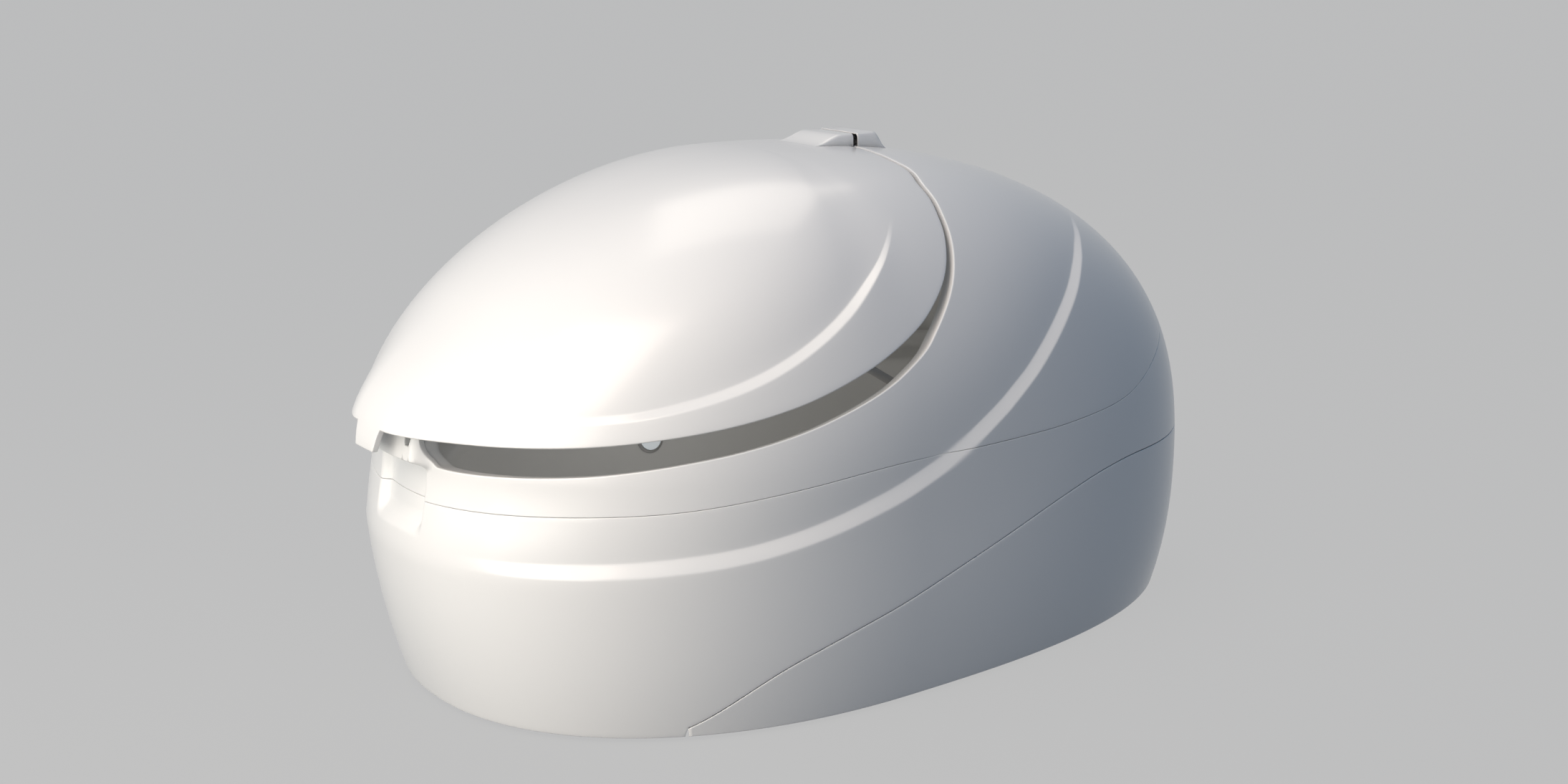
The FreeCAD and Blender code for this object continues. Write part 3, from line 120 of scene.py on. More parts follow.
# %% [markdown]
# ## Edge lines
# Each line is a value for every angle. Its stations are joined by straight runs, measured along the
# outline and not in degrees, because the outline runs fast past the side. A blur along the same length
# then rounds the corners, the way a pattern maker's spline does.
#
# Rims, swooshes, seam and apron line are row heights. `SLOT` is the width of the long ventilation slot
# under the lid's rim, and the halves are half the height of a swoosh's lit face.

# %% Stations
LID_RIM = [(180, 737), (172, 736), (165, 733), (160, 732), (153, 736), (146, 740), (140, 744), (134, 750),
           (129, 757), (123.4, 766), (118, 777), (112.6, 792), (107, 813), (102, 840), (97, 873),
           (94.6, 892), (92.2, 914), (90, 938), (89.2, 962), (88, 994), (86.5, 1028), (84.8, 1067),
           (83, 1110), (79, 1187), (73, 1250), (58, 1294), (42, 1306), (20, 1310.5), (0, 1311.5)]
SLOT = [(180, 85), (168, 87), (160, 79), (151, 77), (141, 72), (134, 67), (124, 62), (115, 61), (104, 61),
        (97, 63), (94, 61), (92, 57), (90.2, 51), (89.2, 43), (88, 34), (86.5, 28), (84.8, 22), (82, 17),
        (79, 13), (60, 13), (0, 17)]
SWOOSH = [(180, 442), (151, 446), (140, 450), (130, 455), (120, 465), (113.7, 477), (107.6, 496), (102, 519),
          (96, 551), (93, 569), (90.7, 589), (89.3, 612), (88, 637), (86.5, 665), (84.8, 695), (82.7, 728),
          (80.6, 763), (78, 801), (75.4, 841), (72.4, 882), (69, 923), (64.6, 967), (59.4, 1013), (52, 1060),
          (42, 1100), (25, 1130), (0, 1140)]
SWOOSH_FADE = [(180, 0), (162, 0), (148, 0.5), (134, 1), (66, 1), (56, 0.8), (47, 0.4), (38, 0), (0, 0)]
SWOOSH_HALF = [(180, 15), (140, 16), (108, 17.5), (96, 19), (90, 19), (86, 16.5), (80, 14), (72, 12.5),
               (64, 10), (56, 8), (45, 5), (35, 4), (0, 4)]
LID_SWOOSH = [(180, 794), (150, 797), (140, 802), (131.6, 813), (126.8, 826), (122, 842), (117.5, 861),
              (113, 886), (108.7, 918), (104.5, 956), (100.2, 1001), (96, 1052), (93.6, 1080), (90.8, 1112),
              (89.4, 1146), (88, 1178), (84, 1232), (75, 1285), (0, 1310)]
LID_SWOOSH_FADE = [(180, 0), (144, 0), (134, 0.4), (126, 0.85), (118, 1), (97, 1), (93.5, 0.8), (90.6, 0.35),
                   (88.6, 0), (0, 0)]
LID_SWOOSH_HALF = [(180, 8), (140, 9), (126, 12), (114, 14.5), (98, 13), (93, 9), (89, 5), (0, 5)]
SEAM = [(180, 557), (125, 587), (95, 640), (75, 640), (60, 657), (47, 732), (30, 800), (0, 830)]
APRON = [(180, 12), (128, 12), (122, 60), (111, 167), (99, 243), (93, 275), (87, 346), (77, 438), (69, 482),
         (61, 497), (44, 482), (20, 478), (0, 478)]
APRON_END, APRON_TIP = 126.0, 20.0
TAB_DROP, TAB_HALF, TAB_CORNER, TAB_FADE = 55.0, 52.0, 12.0, 18.0
NOSE_REACH, NOSE_HALF, NOSE_FLARE, NOSE_RISE = 60.0, 80.0, 320.0, 260.0
LANDING_HALF, LANDING_ROUND, LANDING_GAP = 124.0, 44.0, 6.0
NOTCH_LOW, NOTCH_HIGH, NOTCH_DEPTH, NOTCH_FADE = 80.0, 110.0, 32.0, 7.0
NOSE_SETBACK, SETBACK_LOW, SETBACK_RISE = 38.0, 400.0, 240.0
POCKET_DEPTH, POCKET_HALF, POCKET_SIDE, POCKET_LOW, POCKET_RISE = 24.0, 90.0, 34.0, 470.0, 50.0
SHELF_Z, SHELF_RISE, SHELF_HALF, SHELF_SIDE = 640.0, 24.0, 150.0, 40.0
LEDGE_OUT, LEDGE_IN, LEDGE_FALL, LEDGE_SOFT = 6.0, 14.0, 230.0, 0.16
WALL, LINER, LINER_WALL, RIM_STEP, FLANGE, FIT = 15.0, 52.0, 7.0, 5.0, 9.0, 0.3

GRID = np.linspace(0, 180, 18001)


def lengths(points):
    """Length along a row of points, from its first."""
    return np.concatenate([[0], np.cumsum(np.linalg.norm(np.diff(points, axis=0), axis=1))])


OUTLINE = lengths(egg(GRID, GROUND + SIDE["belt"]))
print("half the outline is", round(OUTLINE[-1]), "mm long")


def blur(values, width):
    """Gaussian average over a run of samples, the run mirrored at both ends."""
    n = int(width * 3.5) + 1
    x = np.arange(-n, n + 1)
    g = np.exp(-0.5 * (x / width) ** 2)
    wide = np.concatenate([values[n:0:-1], values, values[-2:-n - 2:-1]])
    return np.convolve(wide, g / g.sum(), mode="valid")


def line(stations, width=50.0):
    """Function of the angle through (angle, value) stations, blurred over a width in millimetres."""
    even = np.arange(0, OUTLINE[-1], 3.0)
    a, v = np.array(stations[::-1], float).T
    smooth = blur(np.interp(even, np.interp(a, GRID, OUTLINE), v), width / 3)
    return lambda angle: np.interp(np.interp(np.abs(angle), GRID, OUTLINE), even, smooth)


def rim_line(width=26.0):
    """The lid's rim: its stations as a curve on the egg, blurred along its own length, because it climbs
    almost straight up at the side."""
    a, v = np.array(LID_RIM[::-1], float).T
    z = np.interp(OUTLINE, np.interp(a, GRID, OUTLINE), v)
    run = lengths(egg(GRID, z))
    even = np.arange(0, run[-1], 2.0)
    along, up = blur(np.interp(even, run, OUTLINE), width / 2), blur(np.interp(even, run, z), width / 2)
    ends = np.concatenate([[0], along[1:-1], [OUTLINE[-1]]])
    return lambda angle: np.interp(np.interp(np.abs(angle), GRID, OUTLINE), ends, up)


lid_line = rim_line()
slot_gap, swoosh, swoosh_fade = line(SLOT, 30), line(SWOOSH, 24), line(SWOOSH_FADE, 70)
lid_swoosh, lid_swoosh_fade = line(LID_SWOOSH, 24), line(LID_SWOOSH_FADE, 40)
swoosh_half, lid_swoosh_half = line(SWOOSH_HALF, 50), line(LID_SWOOSH_HALF, 40)
seam_line, apron_line = line(SEAM, 80), line(APRON, 60)

# %% [markdown]
# The slot's lower side is a true parallel of the lid's rim: every point of the rim steps square to it on
# the skin by the slot's width, and the stepped points make the new line. A plain drop in height would
# pinch the slot where the rim climbs.

# %% Parallel line


def tangents(angle, z):
    """Steps on the egg for a degree of angle and for a millimetre of row height."""
    d = 0.02
    by_angle = (egg(np.minimum(angle + d, 180), z) - egg(np.maximum(angle - d, 0), z)) / (2 * d)
    return by_angle, (egg(angle, z + 0.5) - egg(angle, z - 0.5))


def parallel(rim, gap):
    """Line a gap below a rim, measured on the skin: p - gap * n, n square to the rim in the surface."""
    even = np.arange(1.0, OUTLINE[-1] - 1.0, 4.0)
    angle = np.interp(even, OUTLINE, GRID)
    z = rim(angle)
    p = egg(angle, z)
    t = np.gradient(p, axis=0)
    t /= np.linalg.norm(t, axis=1, keepdims=True)
    by_angle, by_z = tangents(angle, z)
    n = by_z - t * (by_z * t).sum(1, keepdims=True)
    n /= np.linalg.norm(n, axis=1, keepdims=True)
    step = -gap(angle)[:, None] * n
    m = np.stack([by_angle, by_z], -1)
    squares, sums = np.einsum("nij,nik->njk", m, m), np.einsum("nij,ni->nj", m, step)
    move = np.linalg.solve(squares, sums[..., None])[..., 0]
    moved_angle, moved_z = angle + move[:, 0], z + move[:, 1]
    order = np.argsort(moved_angle)
    at, up = np.interp(moved_angle[order], GRID, OUTLINE), moved_z[order]
    samples = np.arange(0, OUTLINE[-1], 3.0)
    smooth = blur(np.interp(samples, at, up), 6)
    return lambda a: np.interp(np.interp(np.abs(a), GRID, OUTLINE), samples, smooth)


slot_line = parallel(lid_line, slot_gap)
print("the slot's lower side is at", slot_line(np.array([180, 140, 100, 85, 60])).round(), "mm")

# %% [markdown]
# ## Columns
# Every skin uses the same upright columns, so two bands that share an edge line share its points too. An
# edge is rounded at a distance from its line, square to it, and `rise_along` says how much row height
# that is at each column.

# %% Columns


def belt_y(angle):
    """Half width on the nose, measured at the belt; huge behind the middle."""
    a = np.abs(angle)
    return np.where(a > 90, SIDE["top"] * np.sin(np.radians(a)) ** (2 / FRONT_PLAN), 1e4)


def columns(count=250):
    """Signed angles of the columns, nose first, down +Y and back along -Y: every 2.5 mm across the tab,
    then spaced so that rim and belt are shared out evenly."""
    nose = 180 - np.degrees(np.arcsin((np.arange(0, 172, 2.5) / SIDE["top"]) ** (FRONT_PLAN / 2)))
    grid = np.linspace(nose[-1], 0, 8001)
    runs = [lengths(egg(grid, z)) for z in (lid_line(grid), np.full_like(grid, GROUND + SIDE["belt"]))]
    share = sum(run / run[-1] for run in runs) / 2
    side = np.concatenate([nose, np.interp(np.linspace(0, 1, count + 1)[1:], share, grid)])
    side[-1] = 0.0
    return np.concatenate([side, -side[-2:0:-1]])


COLS = columns()


def rise_along(rim):
    """Rise in row height that moves a point one millimetre off a rim, square to it on the skin."""
    place = np.interp(np.abs(COLS), GRID, OUTLINE)
    a, b = (np.interp(np.clip(place + d, 0, OUTLINE[-1]), OUTLINE, GRID) for d in (6.0, -6.0))
    run = egg(a, rim(a)) - egg(b, rim(b))
    c = np.abs(COLS)
    rise = egg(c, rim(c)) - egg(c, rim(c) - 1.0)
    cross = np.linalg.norm(np.cross(rise, run), axis=-1)
    return np.linalg.norm(run, axis=-1) / np.maximum(cross, 1e-6)


LID_RISE, BASE_RISE = rise_along(lid_line), rise_along(slot_line)
SWOOSH_RISE, LID_SWOOSH_RISE = rise_along(swoosh), rise_along(lid_swoosh)
NOSE_Y = belt_y(COLS)
TAB = ease((TAB_HALF + TAB_CORNER - NOSE_Y) / TAB_FADE)
print(len(COLS), "columns; the rim climbs at most", round(float(LID_RISE.max()), 1),
      "mm for one square to it")


def lid_rim(off=0.0, tab=True):
    """Row height of the lid's lower edge at every column, or of a line a distance above it."""
    return lid_line(COLS) + off * LID_RISE - (TAB_DROP * TAB if tab else 0.0)


def base_rim(off=0.0):
    """Row height of the base's upper edge, or of a line a distance below it: the slot's lower side, whose
    end is a quarter circle up to the landing, and the landing 6 mm under the lid's nose. A notch in the
    landing leaves room for the rubber buffer."""
    t = np.clip((LANDING_HALF + LANDING_ROUND - NOSE_Y) / LANDING_ROUND, 0, 1)
    landing = 1 - np.sqrt(1 - t * t)
    notch = ease((NOSE_Y - NOTCH_LOW) / NOTCH_FADE) * ease((NOTCH_HIGH - NOSE_Y) / NOTCH_FADE)
    under_lid = lid_line(COLS) - LANDING_GAP - NOTCH_DEPTH * notch
    return under_lid * landing + slot_line(COLS) * (1 - landing) - off * BASE_RISE


# %% [markdown]
# ## Skins with their details
# A swoosh is a step in the skin: it stands out 6 mm below its line and lies in 14 mm above it, with a lit
# face between that narrows to a point at both ends, and both sides die away over 230 mm.

# %% Skins


def step_profile(away, half, fade):
    """Push of a swoosh at a distance above its line: a ramp with softly rounded corners across the face,
    from out to in, then a parabola back to nothing."""
    t = away / half
    ramp = (np.sqrt((t + 1) ** 2 + LEDGE_SOFT ** 2) - np.sqrt((t - 1) ** 2 + LEDGE_SOFT ** 2)) / 2
    fall = np.clip(1 - (np.abs(away) - half) / LEDGE_FALL, 0, 1) ** 2
    step = (LEDGE_OUT - LEDGE_IN) / 2 - (LEDGE_OUT + LEDGE_IN) / 2 * ramp
    return fade * step * np.where(np.abs(away) < half, 1.0, fall)


def push(p, amount):
    """Moves points away from the middle of the pod by an amount."""
    d = p - np.array([CROWN_X, 0, 0])
    d[..., 2] = np.maximum(0, p[..., 2] - SIDE["belt"] - GROUND)
    size = np.linalg.norm(d, axis=-1, keepdims=True)
    return p + d / np.maximum(size, 1.0) * np.asarray(amount)[..., None]


def base_skin(z, inset=0.0, detail=True):
    """The base at every column: the egg, set back 38 mm under the lid's nose and 62 mm in the finger
    pocket, but flush again at the landing, which makes a shelf; and its swoosh."""
    p = egg(COLS, z, inset)
    back = NOSE_SETBACK * ease((np.abs(COLS) - 105) / 45) * ease((z - SETBACK_LOW) / SETBACK_RISE)
    pocket = ease((POCKET_HALF + POCKET_SIDE - NOSE_Y) / POCKET_SIDE) * ease((z - POCKET_LOW) / POCKET_RISE)
    shelf = ease((z - SHELF_Z) / SHELF_RISE) * ease((SHELF_HALF - NOSE_Y) / SHELF_SIDE)
    p[..., 0] += (back + POCKET_DEPTH * pocket) * (1 - shelf)
    if detail:
        away = (z - swoosh(COLS)) / SWOOSH_RISE
        p = push(p, step_profile(away, swoosh_half(COLS), swoosh_fade(COLS)))
    return p


def between(low, high, share):
    """Row height a share of the way from low to high, measured as an angle: h = H sin(angle)."""
    a = np.arcsin(np.clip((low - GROUND) / HEIGHT, 0, 1))
    b = np.arcsin(np.clip((high - GROUND) / HEIGHT, 0, 1))
    return GROUND + HEIGHT * np.sin(a + (b - a) * share)


# behind 85 degrees the lid's swoosh has died away, and a plain share of the height stands in for its line
AHEAD = ease((np.abs(COLS) - 82) / 5)
LID_SWOOSH_Z = lid_swoosh(COLS) * AHEAD + between(lid_line(COLS), CROWN_Z, 0.4) * (1 - AHEAD)


def lid_skin(z, inset=0.0, detail=True):
    """The lid at every column: the egg, bulging 60 mm over the nose, with its swoosh."""
    p = egg(COLS, z, inset)
    bulge = ease((NOSE_FLARE - NOSE_Y) / (NOSE_FLARE - NOSE_HALF))
    p[..., 0] -= NOSE_REACH * bulge * ease(1 - (z - lid_line(COLS)) / NOSE_RISE)
    if detail:
        away = (z - LID_SWOOSH_Z) / LID_SWOOSH_RISE
        p = push(p, step_profile(away, lid_swoosh_half(COLS), lid_swoosh_fade(COLS)))
    return p


def rows(low, high, focus, count, width=26.0):
    """Row heights between two lines, seven times closer near a third line: the share of rows below a
    height is the integral of 1 + 6 exp(-((z - focus)/width)^2)."""
    z = between(low, high, np.linspace(0, 1, 260)[:, None])
    weight = 1 + 6 * np.exp(-((z - focus) / width) ** 2)
    c = np.concatenate([np.zeros((1, z.shape[1])), np.cumsum((weight[1:] + weight[:-1]) / 2, 0)])
    c /= c[-1]
    out = np.empty((count, z.shape[1]))
    for k, t in enumerate(np.linspace(0, 1, count)):
        i = np.clip((c <= t).sum(0) - 1, 0, len(c) - 2)
        j = np.arange(z.shape[1])
        f = (t - c[i, j]) / (c[i + 1, j] - c[i, j])
        out[k] = z[i, j] + (z[i + 1, j] - z[i, j]) * np.clip(f, 0, 1)
    return out


def rounded(points, radii, steps=6):
    """Path through corner points with an arc of a given radius in each corner: the arc touches both runs
    at radius / tan(half the corner) from it."""
    points = np.asarray(points, float)
    out = [points[:1]]
    for a, b, c, r in zip(points, points[1:], points[2:], radii):
        u, v = (a - b) / np.linalg.norm(a - b), (c - b) / np.linalg.norm(c - b)
        half = math.acos(float(np.clip(u @ v, -1, 1))) / 2
        if r == 0 or half > 1.56:
            out.append(b[None])
            continue
        middle = b + (u + v) / np.linalg.norm(u + v) * r / math.sin(half)
        p, q = b + u * r / math.tan(half) - middle, b + v * r / math.tan(half) - middle
        t = np.linspace(0, 1, steps)[:, None]
        turn = math.pi - 2 * half
        out.append(middle + (np.sin((1 - t) * turn) * p + np.sin(t * turn) * q) / math.sin(turn))
    return np.concatenate(out + [points[-1:]])


# %% [markdown]
# ## From grids to meshes
# Every skin is a grid of points, rows by columns, joined up by quads. A ring grid closes on itself both
# ways; a cap ends in one pole.

# %% Meshes


def mesh_object(name, points, quads, tris=None):
    """Object from points in millimetres, quads and triangles, shaded smooth."""
    faces = [quads.reshape(-1, 4)] + ([tris.reshape(-1, 3)] if tris is not None else [])
    me = bpy.data.meshes.new(name)
    me.vertices.add(len(points))
    me.vertices.foreach_set("co", (np.asarray(points, float) / 1000).ravel())
    loops = np.concatenate([f.ravel() for f in faces])
    sizes = np.concatenate([np.full(len(f), f.shape[1]) for f in faces])
    me.loops.add(len(loops))
    me.loops.foreach_set("vertex_index", loops.astype(np.int32))
    me.polygons.add(len(sizes))
    starts = np.concatenate([[0], np.cumsum(sizes)[:-1]])
    me.polygons.foreach_set("loop_start", starts.astype(np.int32))
    me.polygons.foreach_set("use_smooth", np.ones(len(sizes), bool))
    me.update(calc_edges=True)
    me.validate()
    ob = bpy.data.objects.new(name, me)
    bpy.context.scene.collection.objects.link(ob)
    return ob


def grid_quads(n_rows, n_cols, wrap_rows, wrap_cols, first=0):
    """Quads of a grid whose points are stored row by row."""
    r = np.arange(n_rows if wrap_rows else n_rows - 1)[:, None]
    c = np.arange(n_cols if wrap_cols else n_cols - 1)[None, :]
    r2, c2 = (r + 1) % n_rows, (c + 1) % n_cols
    q = [r * n_cols + c, r * n_cols + c2, r2 * n_cols + c2, r2 * n_cols + c]
    return np.stack(np.broadcast_arrays(*q), -1).reshape(-1, 4) + first


def surface(name, grid, wrap_rows=False, wrap_cols=True, poles=(), flip=False):
    """Object from a (rows, columns, 3) grid. poles is a list of (row, point) that close a row with a
    fan. flip turns every face over: a ring whose outer face climbs needs it, because the columns run
    clockwise as seen from above."""
    n_rows, n_cols = grid.shape[:2]
    points = grid.reshape(-1, 3)
    quads = grid_quads(n_rows, n_cols, wrap_rows, wrap_cols)
    fans = []
    c = np.arange(n_cols)
    for row, point in poles:
        points = np.vstack([points, point])
        a, b = row % n_rows * n_cols + c, row % n_rows * n_cols + (c + 1) % n_cols
        tip = np.full(n_cols, len(points) - 1)
        fans.append(np.stack([a, b, tip] if row else [b, a, tip], 1))
    tris = np.concatenate(fans) if fans else None
    if flip:
        quads, tris = quads[:, ::-1], (tris[:, ::-1] if fans else None)
    return mesh_object(name, points, quads, tris)


def place(ob, body, *nodes):
    """Rides a piece on its body in place of CAD nodes, and prints its size."""
    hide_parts(*nodes)
    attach(ob, body)
    print(ob.name, len(ob.data.polygons), "faces")
    return ob


# %% [markdown]
# ## The four outer mouldings
# A band goes up its outer skin, over a rounded edge, down its inner skin and back under. The edges are
# rounded as a moulder lays gelcoat round a flange: by 4 mm along the lid's rim, by 3 mm at the opening
# and by 1.6 mm at the seam between hood and tub.

# %% Hood and tub
HOOD_EDGE, LID_EDGE, SEAM_EDGE, FOOT_EDGE, APRON_EDGE = 3.0, 4.0, 1.6, 3.0, 2.5
INNER_EDGE, SEAM_HALF, APRON_GAP = 2.0, 0.5, 2.0


def round_edge(radius, steps=6):
    """(inset, distance from the edge) down a quarter circle from skin to edge face."""
    t = np.linspace(0, math.pi / 2, steps)
    return np.stack([radius * (1 - np.cos(t)), radius * (1 - np.sin(t))], 1)


def band(name, low, high, top_radius, low_radius, step, count):
    """Closed band of the base between two lines, rounded along both. step is the rise that moves a point
    a millimetre off the upper line, count the number of rows up the skin."""
    grid = [base_skin(low + off, inset) for inset, off in round_edge(low_radius)[::-1]]
    heights = rows(low + low_radius, high - top_radius * step, swoosh(COLS), count)
    grid += [base_skin(z) for z in heights[1:-1]]
    grid += [base_skin(high - off * step, inset) for inset, off in round_edge(top_radius)]
    grid += [base_skin(high - off * step, WALL - inset, False)
             for inset, off in round_edge(INNER_EDGE, 4)[::-1]]
    grid += [base_skin(between(low, high - INNER_EDGE * step, share), WALL, False)
             for share in np.linspace(1, 0, 10)[1:]]
    return surface(name, np.array(grid), wrap_rows=True, flip=True)


SEAM_Z = np.minimum(seam_line(COLS), base_rim() - 30)
APRON_Z = np.maximum(APRON_TIP, apron_line(COLS))
FLOOR_Z = np.full(len(COLS), GROUND)
IN_APRON = np.abs(COLS) < APRON_END
TUB_FOOT = np.where(IN_APRON, APRON_Z + APRON_GAP, GROUND)

hood = place(band("hood", SEAM_Z + SEAM_HALF, base_rim(), HOOD_EDGE, SEAM_EDGE, BASE_RISE, 110),
             "base", "hood_shell")
tub = place(band("tub", TUB_FOOT, SEAM_Z - SEAM_HALF, SEAM_EDGE, FOOT_EDGE, 1.0, 80), "base", "tub_shell")

# %% Service apron


def apron_band():
    """The service panel: a band of the base from floor to apron line, with a flat cap at both ends."""
    top = np.maximum(APRON_Z, GROUND + 6)
    grid = [base_skin(FLOOR_Z + off, inset) for inset, off in round_edge(FOOT_EDGE)[::-1]]
    grid += [base_skin(between(FLOOR_Z + FOOT_EDGE, top - APRON_EDGE, share))
             for share in np.linspace(0, 1, 40)[1:-1]]
    grid += [base_skin(top - off, inset) for inset, off in round_edge(APRON_EDGE)]
    grid += [base_skin(between(FLOOR_Z, top, share), WALL, False) for share in np.linspace(1, 0, 10)]
    # the kept columns run from one end over the rear to the other; turned over, each is a closed ring
    grid = np.array(grid)[:, IN_APRON].transpose(1, 0, 2)
    ob = surface("apron", grid, poles=[(0, grid[0].mean(0)), (-1, grid[-1].mean(0))])
    faces, caps = len(ob.data.polygons), 2 * grid.shape[1]
    ob.data.polygons.foreach_set("use_smooth", np.arange(faces) < faces - caps)
    return ob


apron = place(apron_band(), "base", "service_apron")

# %% Lid


def lid_moulding():
    """The lid: up the outer skin to the crown, and an inner skin 15 mm inside it, joined round a thick
    rounded rim."""
    inner = [lid_skin(between(lid_rim(INNER_EDGE), CROWN_Z, share), WALL, False)
             for share in np.linspace(0, 1, 24)[1:-1][::-1]]
    inner += [lid_skin(lid_rim(off), WALL - inset, False) for inset, off in round_edge(2.5, 4)]
    outer = [lid_skin(lid_rim(off), inset) for inset, off in round_edge(LID_EDGE)[::-1]]
    heights = rows(lid_rim(LID_EDGE), np.full(len(COLS), CROWN_Z), LID_SWOOSH_Z, 100)
    outer += [lid_skin(z) for z in heights[1:-1]]
    poles = [(0, [CROWN_X, 0, CROWN_Z - WALL]), (-1, [CROWN_X, 0, CROWN_Z])]
    return surface("lid", np.array(inner + outer), poles=poles, flip=True)


lid = place(lid_moulding(), "lid", "lid_shell")

# %% [markdown]
# ## The linings
# Inside, a second set of mouldings makes the smooth white chamber. Each is turned out along the rim to
# meet the outer shell, so the rim looks thick, and its section is a path in two numbers: the inset from
# the outer skin and the distance from the rim.

# %% Lid and hood linings
FLOOR, DECK, FLANGE_Z = 158.0, 544.8, 599.8
RUN_IN = 40


def row_of(z, inset):
    """Outer row whose skin at this inset has the true height z."""
    row = np.asarray(z, float)
    for _ in range(5):
        row = z + inset * sink(row)
    return row


def lid_lining():
    """From the seen crown down to the rim, round the turned-out flange and up the hidden face again."""
    seen, edge = LINER + LINER_WALL, WALL + FIT
    flange = rounded([(seen, RUN_IN), (seen, RIM_STEP), (edge, RIM_STEP), (edge, RIM_STEP + FLANGE),
                      (LINER, RIM_STEP + FLANGE), (LINER, RUN_IN)], [16, 2, 1, 10])
    grid = [lid_skin(between(lid_rim(RUN_IN, False), CROWN_Z, k), seen, False)
            for k in np.linspace(0, 1, 30)[1:-1][::-1]]
    grid += [lid_skin(lid_rim(off, False), inset, False) for inset, off in flange]
    grid += [lid_skin(between(lid_rim(RUN_IN, False), CROWN_Z, k), LINER, False)
             for k in np.linspace(0, 1, 10)[1:-1]]
    poles = [(0, [CROWN_X, 0, CROWN_Z - seen]), (-1, [CROWN_X, 0, CROWN_Z - LINER])]
    return surface("lid_lining", np.array(grid), poles=poles, flip=True)


def hood_lining():
    """From the basin's flange up the hidden face, round the flange at the rim and down the seen face."""
    seen, edge = LINER + LINER_WALL, WALL + FIT
    flange = rounded([(LINER, RUN_IN), (LINER, RIM_STEP + FLANGE), (edge, RIM_STEP + FLANGE),
                      (edge, RIM_STEP), (seen, RIM_STEP), (seen, RUN_IN)], [10, 1, 2, 14])
    # where the rim comes within 60 mm of the basin's flange, the run-in is shortened to fit
    drop = np.minimum(1.0, (base_rim() - row_of(FLANGE_Z, seen)) / (60 * BASE_RISE))

    def wall(inset, share):
        return base_skin(between(row_of(FLANGE_Z, inset), base_rim(RUN_IN * drop), share), inset, False)

    grid = [wall(LINER, k) for k in np.linspace(0, 1, 8)[:-1]]
    grid += [base_skin(base_rim(off * drop), inset, False) for inset, off in flange]
    grid += [wall(seen, k) for k in np.linspace(1, 0, 22)[1:]]
    return surface("hood_lining", np.array(grid), wrap_rows=True, flip=True)


place(lid_lining(), "lid", "lid_liner")
place(hood_lining(), "base", "hood_liner")

# %% [markdown]
# ## The basin
# One section, from the middle of the floor up the sloping wall, over the deck and up to the flange that
# carries the hood's lining. Big fillets make it comfortable and easy to wipe. Near the shell it follows
# the base's skin, and further in the plain egg.

# %% Basin
MIDDLE_INSET, FLOOR_INSET, DECK_INSET = 640.0, 310.0, 232.0


def basin():
    """Rings at (inset, height) along the rounded section, seen face first, then the hidden face 7 mm
    behind it from the flange back to the middle."""
    def ring(inset, z):
        row = row_of(z, inset)
        w = ease((205 - inset) / 124)
        return egg(COLS, row, inset) * (1 - w) + base_skin(row, inset, False) * w

    seen = LINER + LINER_WALL
    path = rounded([(MIDDLE_INSET, FLOOR), (FLOOR_INSET, FLOOR), (DECK_INSET, DECK), (seen, DECK),
                    (seen, FLANGE_Z)], [95, 30, 24], 14)
    floor = np.stack([np.linspace(MIDDLE_INSET, 400, 5), np.full(5, FLOOR)], 1)
    slope = np.linspace(path[14], path[15], 8)[1:-1]
    front = np.concatenate([floor, path[1:15], slope, path[15:]])
    w = LINER_WALL
    back = rounded([(LINER, FLANGE_Z), (LINER, DECK - w), (DECK_INSET - w, DECK - w),
                    (FLOOR_INSET - w, FLOOR - w), (MIDDLE_INSET, FLOOR - w)], [24, 30, 95], 5)
    grid = [ring(inset, z) for inset, z in np.concatenate([front, back])]
    poles = [(0, [CROWN_X, 0, FLOOR]), (-1, [CROWN_X, 0, FLOOR - w])]
    return surface("basin", np.array(grid), poles=poles)


place(basin(), "base", "tub_liner")

# %% [markdown]
# ## The seal
# A soft rubber strip with a bulb section sits under the lid's flange and takes up the gap at the nose.

# %% Seal


def seal():
    """A flattened bulb, carried round the rim: a superellipse 14 mm wide and 5 mm high in section."""
    t = np.linspace(0, 2 * math.pi, 17)[:-1]
    inset = 30.0 - 7.0 * np.sign(np.cos(t)) * np.abs(np.cos(t)) ** 0.7
    off = 1.7 + 2.7 * np.sign(np.sin(t)) * np.abs(np.sin(t)) ** 0.7
    grid = [lid_skin(lid_rim(o, False), i, False) for i, o in zip(inset, off)]
    return surface("seal", np.array(grid), wrap_rows=True, flip=True)


rim_seal = place(seal(), "lid", "lid_seal")

# %% [markdown]
# ## Hinge covers
# Two hollow covers hide the hinge on the crown. Each is one height field over the shell: full height by
# the pin, with a rounded section across, sloping down until it dives into the skin that carries it.

# %% Covers
PIN_X, COVER_TOP, COVER_HALF, COVER_WALL, COVER_SECTION, COVER_DIVE = 188.05, 1343.4, 84.0, 3.0, 30, 2.5


def skin_top(x, y):
    """Height of the egg over (x, y): the row where |dx/run|^p + |y/side|^p reaches 1, found by halving."""
    x, y = np.broadcast_arrays(x, y)
    low, high = np.full(x.shape, GROUND + 700.0), np.full(x.shape, CROWN_Z)
    for _ in range(36):
        middle = (low + high) / 2
        h = middle - GROUND
        run = np.where(x < CROWN_X, reach(h, **FRONT), reach(h, **REAR)) + 1e-6
        power = np.where(x < CROWN_X, FRONT_PLAN, REAR_PLAN)
        outside = (np.abs(x - CROWN_X) / run) ** power + (np.abs(y) / (reach(h, **SIDE) + 1e-6)) ** power > 1
        low, high = np.where(outside, low, middle), np.where(outside, middle, high)
    return low


